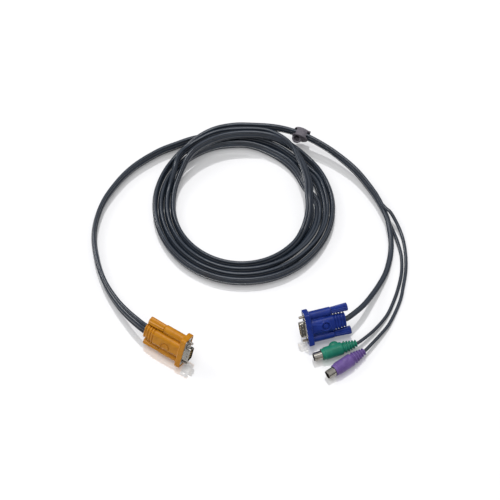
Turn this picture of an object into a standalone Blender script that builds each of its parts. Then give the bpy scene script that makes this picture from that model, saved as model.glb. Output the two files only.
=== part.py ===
"""Keyboard, video and mouse cable for a console switch, lying coiled on a table.

A flat bonded trunk of three cords (data, video, data) leaves the 15-pin console plug on its edge, winds four
times into a flat coil, passes a cord clip and splits into a video cord and two data cords with their own plugs.
Lengths are in metres. +Z is up and the table is at Z = 0.
"""

import math

import bmesh
import bpy
from mathutils import Matrix, Vector

MM = 0.001

# Clearances
SEAT_GAP = 0.3 * MM
RUNNING_GAP = 0.6 * MM
OVERLAP = 0.6 * MM

# Cords
VIDEO_CORD_D = 5.6 * MM
DATA_CORD_D = 3.4 * MM
CORD_PITCH = (VIDEO_CORD_D + DATA_CORD_D) / 2 + SEAT_GAP
CORD_STEP = 12.0 * MM
STEP_DIAMETERS = 2.4
STRAIGHT_END = 4.0 * MM

# Coil: its centre on the table, and the height of a trunk that stands on its edge on the table
COIL_CENTRE = (-8.0, 30.0)
TRUNK_HEIGHT = 2 * CORD_PITCH + DATA_CORD_D
COIL_SIDES = 72
COIL_EDGE_R = 1.6 * MM

# Coil outline by clock angle from the far side: clock degrees, inner radius, outer radius of the lower turns,
# outer radius of the turns that lie on them, top height in mm
COIL_OUTLINE = (
    (0, 62.6, 87.0, 84.4, 26.2),
    (9.6, 62.6, 86.0, 86.4, 26.3),
    (9.8, 62.6, 86.0, 80.0, 26.3),
    (18, 62.6, 86.0, 81.8, 26.4),
    (30, 62.7, 84.0, 81.2, 26.6),
    (44, 62.5, 84.6, 83.4, 26.8),
    (56, 62.3, 87.0, 86.4, 26.8),
    (75, 62.3, 90.2, 90.0, 26.4),
    (98, 61.7, 91.8, 91.6, 19.0),
    (125, 62.7, 91.0, 90.8, 13.2),
    (180, 66.0, 89.0, 88.8, 13.2),
    (225, 66.1, 88.9, 88.7, 13.2),
    (270, 66.0, 88.6, 88.4, 13.2),
    (292, 65.8, 88.2, 87.6, 16.0),
    (312, 64.8, 88.0, 86.4, 24.4),
    (324.8, 64.4, 87.6, 86.0, 26.0),
    (325.0, 64.4, 93.8, 86.0, 26.0),
    (342, 63.2, 90.6, 85.6, 26.6),
)

# Trunk from the console plug to the coil: x, y, height and lean of its flat side in degrees
LEFT_ROUTE = (
    (-110.6, -106.4, 16.8, -22),
    (-119.4, -95.8, 13.6, -18),
    (-129.2, -81.6, 10.2, -11),
    (-140.6, -60.2, 7.4, -5),
    (-149.1, -34.0, 6.7, 0),
    (-152.8, -3.0, 6.7, 0),
    (-146.6, 27.4, 6.7, 0),
    (-132.9, 52.4, 6.7, 0),
    (-115.0, 73.2, 6.7, 0),
    (-91.4, 90.2, 6.7, 0),
    (-73.7, 98.4, 6.7, 0),
    (-60.9, 104.2, 6.7, 0),
)

# Trunk from the coil's top, through the clip, to the split
RIGHT_ROUTE = (
    (7.3, 112.3, 19.8, 0),
    (20.0, 111.8, 19.7, -5),
    (34.0, 110.0, 18.7, -8),
    (50.6, 105.3, 16.8, -8),
    (65.2, 98.4, 14.8, -6),
    (83.8, 86.4, 12.0, -3),
    (104.6, 67.3, 9.4, 4),
    (122.1, 42.8, 7.6, 6),
    (131.0, 25.2, 6.8, 3),
)
CLIP_POINT = 3

# Cords after the split, each to its own plug: x, y and height
VIDEO_ROUTE = (
    (134.9, 14.2, 6.6),
    (136.8, 3.0, 5.4),
    (138.1, -8.0, 3.8),
    (138.1, -18.0, 3.0),
    (136.5, -30.0, 3.0),
    (132.4, -45.6, 3.6),
    (125.6, -60.4, 6.0),
    (118.0, -74.3, 9.6),
    (110.6, -86.2, 13.6),
    (102.8, -95.4, 16.4),
)
KEYBOARD_ROUTE = (
    (137.6, 20.4, 10.6),
    (144.4, 9.4, 6.0),
    (149.0, -1.8, 2.6),
    (151.4, -13.0, 1.8),
    (152.6, -27.2, 1.8),
    (152.2, -42.4, 1.8),
    (149.9, -57.3, 1.8),
    (146.8, -73.3, 1.8),
    (141.1, -88.8, 1.8),
    (134.5, -102.9, 2.6),
    (127.2, -113.6, 4.4),
    (119.6, -122.6, 6.0),
)
MOUSE_ROUTE = (
    (136.2, 14.4, 1.8),
    (140.6, 3.4, 1.8),
    (144.2, -7.2, 1.8),
    (146.8, -17.2, 1.8),
    (148.3, -27.2, 1.8),
    (148.2, -42.4, 1.8),
    (145.5, -57.3, 1.8),
    (140.8, -73.4, 1.8),
    (133.1, -91.9, 2.4),
    (122.4, -107.0, 4.6),
    (112.6, -117.2, 6.0),
)

# D-shaped connector front, common to the console plug and the monitor plug
SHELL_WIDE = 16.9 * MM
SHELL_HEIGHT = 8.4 * MM
SHELL_SLANT = math.radians(10)
SHELL_CORNER_R = 2.3 * MM
SHELL_WALL = 0.5 * MM
SHELL_REACH = 6.0 * MM
PLATE_LENGTH = 30.8 * MM
PLATE_WIDTH = 12.5 * MM
PLATE_THICKNESS = 0.8 * MM
PLATE_CORNER_R = 1.6 * MM
INSULATOR_FACE = 1.2 * MM
PIN_ROWS = 3
PINS_PER_ROW = 5
PIN_PITCH = 2.29 * MM
PIN_ROW_PITCH = 1.98 * MM
PIN_D = 0.76 * MM
PIN_LENGTH = 4.2 * MM

# Thumbscrews
SCREW_EDGE = 2.9 * MM
SCREW_SPACING = PLATE_LENGTH - 2 * SCREW_EDGE
SCREW_D = 3.0 * MM
SCREW_TIP_REACH = 4.8 * MM
SCREW_ROOT = 6.0 * MM
SCREW_TIP_TAPER = 0.5 * MM
KNOB_D = 7.0 * MM
CONSOLE_KNOB_LENGTH = 17.4 * MM
MONITOR_KNOB_LENGTH = 15.6 * MM
KNOB_FLUTES = 10
KNOB_FLUTE_DEPTH = 0.5 * MM
KNOB_END_TAPER = 0.5 * MM

# Hood, common sizes
FLANGE_RIM = 1.5 * MM
FLANGE_DEPTH = 5.6 * MM
FLANGE_CORNER_R = 2.2 * MM
RIM_PROUD = 0.5 * MM
SLEEVE_D = 8.0 * MM
SLEEVE_END = 27.0 * MM
WEB_THICKNESS = 4.4 * MM
WEB_END = 21.0 * MM
HOOD_CORNER_R = 4.2 * MM
RIB_COUNT = 4
RIB_PITCH = 2.9 * MM
RIB_GROOVE = 1.1 * MM
RIB_DEPTH = 0.9 * MM
TAIL_LIP = 1.6 * MM
EMBLEM_RING_WALL = 1.5 * MM

# Console hood
CONSOLE_WIDTH = 16.4 * MM
CONSOLE_THICKNESS = 13.6 * MM
CONSOLE_TAIL_WIDTH = 15.6 * MM
CONSOLE_TAIL_THICKNESS = 10.4 * MM
CONSOLE_LENGTH = 46.0 * MM
CONSOLE_RING_SIZE = (13.0 * MM, 14.2 * MM)
CONSOLE_RING_HEIGHT = 1.8 * MM
CONSOLE_RING_AT = -20.0 * MM
CONSOLE_RING_SIDE = -4.2 * MM

# Monitor hood
MONITOR_WIDTH = 16.2 * MM
MONITOR_THICKNESS = 11.4 * MM
MONITOR_TAIL_WIDTH = 11.2 * MM
MONITOR_TAIL_THICKNESS = 9.4 * MM
MONITOR_LENGTH = 40.0 * MM
MONITOR_RING_SIZE = (10.4 * MM, 10.4 * MM)
MONITOR_RING_HEIGHT = 0.7 * MM
MONITOR_RING_AT = -19.5 * MM

# Round six-pin plugs
ROUND_SHELL_D = 9.0 * MM
ROUND_SHELL_WALL = 0.5 * MM
ROUND_SHELL_REACH = 8.2 * MM
ROUND_SHELL_ROOT = 2.4 * MM
ROUND_KEYWAY_DEPTH = 0.6 * MM
ROUND_KEYWAY_ANGLES = (90, 210, 330)
ROUND_KEYWAY_HALF_ANGLE = 14
ROUND_FLOOR = 2.0 * MM
ROUND_PIN_CIRCLE_R = 2.7 * MM
ROUND_PIN_ANGLES = (50, 100, 150, 210, 260, 310)
ROUND_PIN_D = 0.9 * MM
ROUND_PIN_LENGTH = 4.2 * MM
ROUND_KEY_WIDTH = 2.6 * MM
ROUND_KEY_HEIGHT = 1.3 * MM
ROUND_KEY_LENGTH = 4.8 * MM
ROUND_COLLAR_D = 11.6 * MM
ROUND_COLLAR_LENGTH = 3.0 * MM
ROUND_BODY_D = 13.0 * MM
ROUND_BODY_LENGTH = 19.0 * MM
ROUND_RIB_COUNT = 5
ROUND_RIB_PITCH = 2.8 * MM
ROUND_RIB_FRONT_D = 11.2 * MM
ROUND_RIB_BACK_D = 7.0 * MM
ROUND_RIB_DEPTH = 0.8 * MM
THUMB_PAD_LENGTH = 10.5 * MM
THUMB_PAD_WIDTH = 7.6 * MM
THUMB_PAD_HEIGHT = 1.7 * MM
THUMB_PAD_AT = 8.5 * MM

# Cord clip
CLIP_DRUM_D = 16.4 * MM
CLIP_DRUM_LENGTH = 8.8 * MM
CLIP_NOSE_D = 10.0 * MM
CLIP_NOSE_LENGTH = 2.6 * MM
CLIP_BORE_D = 5.6 * MM
CLIP_BORE_DEPTH = 2.9 * MM
CLIP_SLOT_GAP = 0.7 * MM
CLIP_TAB = (2.6 * MM, 3.0 * MM, 2.4 * MM)
CLIP_TAB_HEIGHTS = (4.6 * MM, -5.4 * MM)

# Where each plug's front face stands on the table: x, y in mm, heading and lean in degrees, side of its face
CONSOLE_POSE = (-61.6, -140.9, -33.0, 24.0, 1)
MONITOR_POSE = (53.6, -114.9, 195.5, 36.0, -1)
MOUSE_POSE = (69.4, -137.8, 200.7, 58.0)
KEYBOARD_POSE = (81.4, -155.4, 216.6, 12.0)

# Moves the whole cable so that the middle of the plugs and clip is at the origin
ORIGIN_SHIFT = (4.258, -25.69)


def clear_scene():
    """Starts from an empty scene."""
    for thing in list(bpy.data.objects):
        bpy.data.objects.remove(thing, do_unlink=True)


def material(name, colour, roughness, metallic=0.0):
    """A plain surface: linear colour, roughness and metallic value."""
    finish = bpy.data.materials.new(name)
    finish.use_nodes = True
    shader = finish.node_tree.nodes["Principled BSDF"]
    shader.inputs["Base Color"].default_value = (*colour, 1.0)
    shader.inputs["Roughness"].default_value = roughness
    shader.inputs["Metallic"].default_value = metallic
    finish.diffuse_color = (*colour, 1.0)
    return finish


def rounded(corners, radius, steps=3):
    """Outline of a convex polygon with round corners, as (u, v) points in order."""
    outline = []
    count = len(corners)
    for i, corner in enumerate(corners):
        here = Vector(corner)
        back = (Vector(corners[i - 1]) - here).normalized()
        ahead = (Vector(corners[(i + 1) % count]) - here).normalized()
        half = back.angle(ahead) / 2
        centre = here + (back + ahead).normalized() * radius / math.sin(half)
        start = here + back * radius / math.tan(half) - centre
        turn = math.pi - 2 * half
        for k in range(steps + 1):
            spoke = Matrix.Rotation(turn * k / steps, 2) @ start
            outline.append(tuple(centre + spoke))
    return outline


def box_outline(width, height, radius, steps=3):
    """Rounded rectangle, wide along u and high along v."""
    radius = min(radius, 0.49 * width, 0.49 * height)
    u, v = width / 2, height / 2
    return rounded(((u, -v), (u, v), (-u, v), (-u, -v)), radius, steps)


def d_outline(inset, steps=3):
    """The connector's D shape, wide at the top, drawn in from its outside by inset."""
    half_height = SHELL_HEIGHT / 2 - inset
    slope = math.tan(SHELL_SLANT)
    top = SHELL_WIDE / 2 - inset * (slope + 1 / math.cos(SHELL_SLANT))
    foot = top - 2 * half_height * slope
    corners = ((foot, -half_height), (top, half_height), (-top, half_height), (-foot, -half_height))
    return rounded(corners, SHELL_CORNER_R - inset, steps)


def oval_outline(width, height, sides):
    """Points round an oval, wide along u and high along v."""
    angles = (2 * math.pi * k / sides for k in range(sides))
    return [(width / 2 * math.cos(a), height / 2 * math.sin(a)) for a in angles]


def circle_outline(diameter, sides):
    """Points round a circle."""
    return oval_outline(diameter, diameter, sides)


def node(name, finish, parent=None):
    """An empty mesh object with its finish, ready for shape()."""
    thing = bpy.data.objects.new(name, bpy.data.meshes.new(name))
    bpy.context.scene.collection.objects.link(thing)
    if finish is not None:
        thing.data.materials.append(finish)
    thing.parent = parent
    return thing


def shape(thing, shell, smooth_angle=35):
    """Gives an object its mesh, closed and facing out, with smooth round sides."""
    bmesh.ops.remove_doubles(shell, verts=shell.verts, dist=1e-7)
    bmesh.ops.recalc_face_normals(shell, faces=shell.faces)
    shell.to_mesh(thing.data)
    shell.free()
    thing.data.shade_smooth()
    thing.data.set_sharp_from_angle(angle=math.radians(smooth_angle))
    return thing


def loft(stations, closed=False, turn=None, shell=None):
    """Skin through outlines standing across X, given as (x, outline), with flat ends unless it closes on itself."""
    shell = shell or bmesh.new()
    rings = []
    for x, outline in stations:
        places = (Vector((x, u, v)) for u, v in outline)
        rings.append([shell.verts.new(turn @ p if turn else p) for p in places])
    pairs = list(zip(rings, rings[1:]))
    if closed:
        pairs.append((rings[-1], rings[0]))
    for first, second in pairs:
        for k in range(len(first)):
            n = (k + 1) % len(first)
            shell.faces.new((first[k], first[n], second[n], second[k]))
    if not closed:
        shell.faces.new(rings[0][::-1])
        shell.faces.new(rings[-1])
    return shell


def tool(name, shell, parent):
    """A solid that is added to or cut from another one, and isn't a piece itself."""
    thing = shape(node(name, None, parent), shell)
    thing.hide_render = True
    thing.display_type = "WIRE"
    return thing


def combine(target, other, operation):
    """Adds or cuts one solid with an exact boolean."""
    step = target.modifiers.new(other.name, "BOOLEAN")
    step.object = other
    step.operation = operation
    step.solver = "EXACT"


def frame_from(name, place, x_axis, z_axis):
    """An empty that holds a plug: +X is its front, +Z the way its face looks."""
    holder = bpy.data.objects.new(name, None)
    bpy.context.scene.collection.objects.link(holder)
    y_axis = z_axis.cross(x_axis)
    turn = Matrix((x_axis, y_axis, z_axis)).transposed().to_4x4()
    holder.matrix_world = Matrix.Translation(place) @ turn
    return holder


def on_table(x, y, z=0.0):
    """A point given in mm on the table, moved to the part's own origin."""
    return Vector((x - ORIGIN_SHIFT[0], y - ORIGIN_SHIFT[1], z)) * MM


def edge_frame(name, pose, half_width, half_thickness, corner):
    """Frame of a plug that stands on its narrow side and leans back, its lowest corner on the table."""
    x, y, heading, lean, side = pose
    heading, lean = math.radians(heading), math.radians(lean)
    x_axis = Vector((math.cos(heading), math.sin(heading), 0))
    level = Vector((math.sin(heading), -math.cos(heading), 0)) * side
    z_axis = level * math.cos(lean) + Vector((0, 0, 1)) * math.sin(lean)
    height = (half_width - corner) * math.cos(lean) + (half_thickness - corner) * math.sin(lean) + corner
    return frame_from(name, on_table(x, y) + Vector((0, 0, height)), x_axis, z_axis)


def flat_frame(name, pose, radius):
    """Frame of a round plug that lies on the table, rolled about its own axis."""
    x, y, heading, roll = pose
    heading, roll = math.radians(heading), math.radians(roll)
    x_axis = Vector((math.cos(heading), math.sin(heading), 0))
    level = Vector((math.sin(heading), -math.cos(heading), 0))
    z_axis = level * math.sin(roll) + Vector((0, 0, 1)) * math.cos(roll)
    return frame_from(name, on_table(x, y) + Vector((0, 0, radius)), x_axis, z_axis)


def make_front(prefix, parent, metal, plastic):
    """The nickel plate with its D shell, and the insulator inside; the plate's face is at x = -RIM_PROUD."""
    face = -RIM_PROUD
    back = face - PLATE_THICKNESS
    plate = box_outline(PLATE_LENGTH, PLATE_WIDTH, PLATE_CORNER_R)
    outer, inner = d_outline(0), d_outline(SHELL_WALL)
    tip = face + SHELL_REACH
    stations = ((back, inner), (back, plate), (face, plate), (face, outer), (tip, outer), (tip, inner))
    shell = shape(node(prefix + "_shell", metal, parent), loft(stations, closed=True))
    holes = bmesh.new()
    for side in (-1, 1):
        turn = Matrix.Translation((0, side * SCREW_SPACING / 2, 0))
        bore = circle_outline(SCREW_D + 2 * RUNNING_GAP, 16)
        loft(((back - OVERLAP, bore), (face + OVERLAP, bore)), turn=turn, shell=holes)
    combine(shell, tool(prefix + "_plate_holes", holes, parent), "DIFFERENCE")

    core = d_outline(SHELL_WALL + SEAT_GAP)
    insulator = node(prefix + "_insulator", plastic, parent)
    shape(insulator, loft(((back, core), (face + INSULATOR_FACE, core))))
    return insulator


def pin_places():
    """The fifteen contact places, row by row, as (y, z)."""
    for row in range(PIN_ROWS):
        shift = PIN_PITCH / 4 * (1 if row % 2 == 0 else -1)
        for k in range(PINS_PER_ROW):
            y = (k - (PINS_PER_ROW - 1) / 2) * PIN_PITCH + shift
            yield y, (1 - row) * PIN_ROW_PITCH


def pin_stations(start, length, diameter):
    """A round contact with a tapered tip."""
    body, tip = circle_outline(diameter, 8), circle_outline(diameter / 2, 8)
    return (start, body), (start + length - diameter / 2, body), (start + length, tip)


def make_fused_pins(prefix, insulator, parent):
    """Fifteen contacts that stand out of the insulator and are one solid with it."""
    pins = bmesh.new()
    root = -RIM_PROUD + INSULATOR_FACE - OVERLAP
    for y, z in pin_places():
        turn = Matrix.Translation((0, y, z))
        loft(pin_stations(root, PIN_LENGTH + OVERLAP, PIN_D), turn=turn, shell=pins)
    combine(insulator, tool(prefix + "_pin_set", pins, parent), "UNION")


def make_pins(prefix, metal, parent):
    """Fifteen separate contacts that stand on the insulator's face."""
    start = -RIM_PROUD + INSULATOR_FACE + SEAT_GAP
    for number, (y, z) in enumerate(pin_places(), 1):
        pin = node(f"{prefix}_pin_{number:02d}", metal, parent)
        pin.location = (0, y, z)
        shape(pin, loft(pin_stations(start, PIN_LENGTH - SEAT_GAP, PIN_D)))


def make_hood(prefix, finish, parent, width, thickness, tail, length, ring):
    """The moulded hood: flange with a raised rim, body, two screw sleeves, webs, ribbed tail and face ring."""
    seat = PLATE_LENGTH + 2 * SEAT_GAP
    seat_high = PLATE_WIDTH + 2 * SEAT_GAP
    floor = -RIM_PROUD - PLATE_THICKNESS - SEAT_GAP
    outside = box_outline(seat + 2 * FLANGE_RIM, seat_high + 2 * FLANGE_RIM, FLANGE_CORNER_R)
    inside = box_outline(seat, seat_high, PLATE_CORNER_R + SEAT_GAP)
    hood = node(prefix + "_hood", finish, parent)
    shape(hood, loft(((-FLANGE_DEPTH, outside), (0, outside), (0, inside), (floor, inside))))

    ribs_front = length - TAIL_LIP - RIB_COUNT * RIB_PITCH

    def section(x, grow=0.0):
        """Body outline at x, full up to the ribs and smaller towards the tail."""
        share = max(0.0, (-x - ribs_front) / (length - ribs_front))
        wide = width + (tail[0] - width) * share + grow
        high = thickness + (tail[1] - thickness) * share + grow
        return x, box_outline(wide, high, HOOD_CORNER_R, 4)

    stations = [section(-length), section(-length + TAIL_LIP)]
    x = -length + TAIL_LIP
    for _ in range(RIB_COUNT):
        stations.append(section(x, -2 * RIB_DEPTH))
        stations.append(section(x + RIB_GROOVE, -2 * RIB_DEPTH))
        stations.append(section(x + RIB_GROOVE))
        x += RIB_PITCH
        stations.append(section(x))
    stations.append(section(-FLANGE_DEPTH + OVERLAP * 2))
    combine(hood, tool(prefix + "_body", loft(stations), parent), "UNION")

    sleeves, web, bores = bmesh.new(), bmesh.new(), bmesh.new()
    front = -FLANGE_DEPTH + OVERLAP
    for side in (-1, 1):
        turn = Matrix.Translation((0, side * SCREW_SPACING / 2, 0))
        sleeve = circle_outline(SLEEVE_D, 20)
        bore = circle_outline(SCREW_D + 2 * RUNNING_GAP, 16)
        loft(((-SLEEVE_END, sleeve), (front, sleeve)), turn=turn, shell=sleeves)
        loft(((-SLEEVE_END - OVERLAP, bore), (OVERLAP, bore)), turn=turn, shell=bores)
    bar = box_outline(SCREW_SPACING, WEB_THICKNESS, RIB_DEPTH)
    loft(((-WEB_END, bar), (front + OVERLAP / 2, bar)), shell=web)
    combine(hood, tool(prefix + "_sleeves", sleeves, parent), "UNION")
    combine(hood, tool(prefix + "_web", web, parent), "UNION")

    (ring_length, ring_width), height, along, across = ring
    turn = Matrix.Translation((along, across, 0)) @ Matrix.Rotation(math.radians(-90), 4, "Y")
    outer = oval_outline(ring_width, ring_length, 28)
    inner = oval_outline(ring_width - 2 * EMBLEM_RING_WALL, ring_length - 2 * EMBLEM_RING_WALL, 28)
    top = thickness / 2 + height
    root = thickness / 4
    rim = ((root, outer), (top, outer), (top, inner), (top - height * 0.7, inner))
    combine(hood, tool(prefix + "_face_ring", loft(rim, turn=turn), parent), "UNION")
    combine(hood, tool(prefix + "_screw_bores", bores, parent), "DIFFERENCE")


def fluted_outline(diameter, flutes, depth):
    """Knob section: a circle with a shallow flute between each pair of ridges."""
    outline = []
    for k in range(flutes * 2):
        radius = diameter / 2 - (depth if k % 2 else 0)
        angle = math.pi * k / flutes
        outline.append((radius * math.cos(angle), radius * math.sin(angle)))
    return outline


def make_thumbscrews(prefix, finish, metal, parent, knob_length):
    """Two captive thumbscrews, each a fluted knob moulded on a steel screw, turning on the screw's axis."""
    knob_front = -SLEEVE_END - SEAT_GAP
    knob_back = knob_front - knob_length
    bore = circle_outline(SCREW_D + 2 * SEAT_GAP, 20)
    root = knob_front - SCREW_ROOT
    fluted = fluted_outline(KNOB_D, KNOB_FLUTES, KNOB_FLUTE_DEPTH)
    small = fluted_outline(KNOB_D - 2 * KNOB_END_TAPER, KNOB_FLUTES, KNOB_FLUTE_DEPTH)
    knob_profile = (
        (knob_back, small),
        (knob_back + KNOB_END_TAPER, fluted),
        (knob_front, fluted),
        (knob_front, bore),
        (root - SEAT_GAP, bore),
    )
    shank = circle_outline(SCREW_D, 12)
    tip = circle_outline(SCREW_D - 2 * SCREW_TIP_TAPER, 12)
    screw_profile = (
        (root, shank),
        (SCREW_TIP_REACH - SCREW_TIP_TAPER, shank),
        (SCREW_TIP_REACH, tip),
    )
    for label, side in (("a", -1), ("b", 1)):
        place = (0, side * SCREW_SPACING / 2, 0)
        knob = node(f"{prefix}_knob_{label}", finish, parent)
        knob.location = place
        shape(knob, loft(knob_profile), 25)
        screw = node(f"{prefix}_screw_{label}", metal, parent)
        screw.location = place
        shape(screw, loft(screw_profile))


def keyed_outline(diameter, sides=36):
    """Round shell section with three keying grooves."""
    outline = []
    for k in range(sides):
        angle = 360 * k / sides
        in_keyway = any(abs(angle - at) <= ROUND_KEYWAY_HALF_ANGLE for at in ROUND_KEYWAY_ANGLES)
        radius = diameter / 2 - (ROUND_KEYWAY_DEPTH if in_keyway else 0)
        outline.append((radius * math.cos(math.radians(angle)), radius * math.sin(math.radians(angle))))
    return outline


def make_round_plug(prefix, finish, metal, plastic, parent, pad):
    """A six-pin round plug: nickel shell, insulator with its key, contacts and a moulded grip."""
    outer = keyed_outline(ROUND_SHELL_D)
    inner = keyed_outline(ROUND_SHELL_D - 2 * ROUND_SHELL_WALL)
    stations = ((-ROUND_SHELL_ROOT, inner), (-ROUND_SHELL_ROOT, outer), (ROUND_SHELL_REACH, outer),
                (ROUND_SHELL_REACH, inner))
    shape(node(prefix + "_shell", metal, parent), loft(stations, closed=True))

    core = keyed_outline(ROUND_SHELL_D - 2 * ROUND_SHELL_WALL - 2 * SEAT_GAP)
    insulator = node(prefix + "_insulator", plastic, parent)
    shape(insulator, loft(((-ROUND_SHELL_ROOT, core), (ROUND_FLOOR, core))))
    key = box_outline(ROUND_KEY_WIDTH, ROUND_KEY_HEIGHT, ROUND_KEY_HEIGHT / 6, 1)
    key_solid = loft(((ROUND_FLOOR - OVERLAP, key), (ROUND_FLOOR + ROUND_KEY_LENGTH, key)))
    combine(insulator, tool(prefix + "_key", key_solid, parent), "UNION")

    start = ROUND_FLOOR + SEAT_GAP
    for number, angle in enumerate(ROUND_PIN_ANGLES, 1):
        pin = node(f"{prefix}_pin_{number}", metal, parent)
        spoke = math.radians(angle + 90)
        pin.location = (0, ROUND_PIN_CIRCLE_R * math.cos(spoke), ROUND_PIN_CIRCLE_R * math.sin(spoke))
        shape(pin, loft(pin_stations(start, ROUND_PIN_LENGTH, ROUND_PIN_D)))

    make_grip(prefix, finish, parent, pad)


def make_grip(prefix, finish, parent, pad):
    """The moulded grip: a pocket for the shell, a collar, a round body, tapered ribs and a thumb pad."""
    sides = 28
    x = -ROUND_SHELL_ROOT - SEAT_GAP
    pocket = circle_outline(ROUND_SHELL_D + 2 * SEAT_GAP, sides)
    collar = circle_outline(ROUND_COLLAR_D, sides)
    body = circle_outline(ROUND_BODY_D, sides)
    profile = [(x, pocket), (0, pocket), (0, collar), (-ROUND_COLLAR_LENGTH, collar)]
    back = -ROUND_COLLAR_LENGTH - ROUND_BODY_LENGTH
    profile += [(-ROUND_COLLAR_LENGTH, body), (back + ROUND_RIB_DEPTH, body)]
    for k in range(ROUND_RIB_COUNT):
        share = k / (ROUND_RIB_COUNT - 1)
        diameter = ROUND_RIB_FRONT_D + (ROUND_RIB_BACK_D - ROUND_RIB_FRONT_D) * share
        groove = circle_outline(diameter - 2 * ROUND_RIB_DEPTH, sides)
        rib = circle_outline(diameter, sides)
        start = back - k * ROUND_RIB_PITCH
        profile += [(start, groove), (start - ROUND_RIB_PITCH * 0.4, groove)]
        profile += [(start - ROUND_RIB_PITCH * 0.5, rib), (start - ROUND_RIB_PITCH * 0.95, rib)]
    grip = shape(node(prefix + "_grip", finish, parent), loft(profile), 30)

    dome = bmesh.new()
    bmesh.ops.create_uvsphere(dome, u_segments=20, v_segments=10, radius=1.0)
    reach = ROUND_BODY_D / 2 + pad
    size = Matrix.Diagonal((THUMB_PAD_LENGTH / 2, THUMB_PAD_WIDTH / 2, reach / 2, 1))
    at = Matrix.Translation((-ROUND_COLLAR_LENGTH - THUMB_PAD_AT, 0, reach / 2))
    bmesh.ops.transform(dome, matrix=at @ size, verts=dome.verts)
    combine(grip, tool(prefix + "_thumb_pad", dome, parent), "UNION")


def grip_length():
    """How far a round plug's grip runs back from its front face."""
    return ROUND_COLLAR_LENGTH + ROUND_BODY_LENGTH + (ROUND_RIB_COUNT - 0.05) * ROUND_RIB_PITCH


def smooth(points, count):
    """Evenly spread samples on a smooth curve through points of any number of values."""
    fine = []
    for i in range(len(points) - 1):
        p0, p1 = points[max(i - 1, 0)], points[i]
        p2, p3 = points[i + 1], points[min(i + 2, len(points) - 1)]
        for k in range(16):
            t = k / 16
            fine.append(tuple(
                0.5 * (2 * b + (c - a) * t + (2 * a - 5 * b + 4 * c - d) * t * t + (3 * b - a - 3 * c + d) * t ** 3)
                for a, b, c, d in zip(p0, p1, p2, p3)
            ))
    fine.append(tuple(points[-1]))
    along = [0.0]
    for a, b in zip(fine, fine[1:]):
        along.append(along[-1] + math.dist(a[:3], b[:3]))
    samples, j = [], 0
    for k in range(count):
        target = along[-1] * k / (count - 1)
        while j < len(fine) - 2 and along[j + 1] < target:
            j += 1
        span = along[j + 1] - along[j]
        t = (target - along[j]) / span if span else 0
        samples.append(tuple(a + (b - a) * t for a, b in zip(fine[j], fine[j + 1])))
    return samples


def path_length(points):
    """Length of a chain of points."""
    return sum(math.dist(a[:3], b[:3]) for a, b in zip(points, points[1:]))


def sampled(points, step=CORD_STEP):
    """Samples about one step apart; the points are in metres."""
    count = max(4, round(path_length(points) / step) + 1)
    return smooth(points, count)


def cord_of_trunk(trunk, offset):
    """The centreline of one cord of the flat trunk, offset across it: points are x, y, z, lean in degrees."""
    line = []
    for i, point in enumerate(trunk):
        before, after = trunk[max(i - 1, 0)], trunk[min(i + 1, len(trunk) - 1)]
        ahead = (Vector(after[:3]) - Vector(before[:3])).normalized()
        left = Vector((-ahead.y, ahead.x, 0)).normalized()
        lean = math.radians(point[3])
        across = ahead.cross(left) * math.cos(lean) + left * math.sin(lean)
        line.append(Vector(point[:3]) + across * offset)
    return line


def tube(name, line, diameter, finish):
    """A round cord through the points, with closed flat ends."""
    curve = bpy.data.curves.new(name, "CURVE")
    curve.dimensions = "3D"
    curve.bevel_depth = diameter / 2
    curve.bevel_resolution = 2
    curve.use_fill_caps = True
    spline = curve.splines.new("POLY")
    spline.points.add(len(line) - 1)
    for target, point in zip(spline.points, line):
        target.co = (*point[:3], 1.0)
    curve.materials.append(finish)
    thing = bpy.data.objects.new(name, curve)
    bpy.context.scene.collection.objects.link(thing)
    return thing


def route(points):
    """Table points in mm as points in metres, with any lean kept."""
    return [(*on_table(p[0], p[1], p[2]), *p[3:]) for p in points]


def make_coil(finish):
    """One closed ring with the outer shape of the four turns, higher where turns pass over each other."""
    wrapped = [(angle, *sizes) for angle, *sizes in COIL_OUTLINE]
    first = (360 + wrapped[0][0], *wrapped[0][1:])
    second = (360 + wrapped[1][0], *wrapped[1][1:])
    last = (wrapped[-1][0] - 360, *wrapped[-1][1:])
    stops = [last, *wrapped, first, second]
    shell = bmesh.new()
    rings = []
    clocks = {360 * side / COIL_SIDES for side in range(COIL_SIDES)} | {stop[0] for stop in wrapped}
    for clock in sorted(clocks):
        k = max(i for i, stop in enumerate(stops[:-1]) if stop[0] <= clock)
        share = (clock - stops[k][0]) / (stops[k + 1][0] - stops[k][0])
        share = share * share * (3 - 2 * share)
        inner, low, high, top = ((a + (b - a) * share) * MM for a, b in zip(stops[k][1:], stops[k + 1][1:]))
        edge = COIL_EDGE_R
        outline = (
            (inner, 0),
            (low, 0),
            (low, top / 2),
            (high, top / 2),
            (high, top - edge),
            (high - edge, top),
            (inner + edge, top),
            (inner, top - edge),
        )
        spoke = Vector((math.sin(math.radians(clock)), math.cos(math.radians(clock)), 0))
        hub = on_table(*COIL_CENTRE)
        rings.append([shell.verts.new(hub + spoke * r + Vector((0, 0, z))) for r, z in outline])
    for ring, after in zip(rings, rings[1:] + rings[:1]):
        for k in range(len(ring)):
            n = (k + 1) % len(ring)
            shell.faces.new((ring[k], ring[n], after[n], after[k]))
    shape(node("cord_coil", finish), shell)


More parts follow.
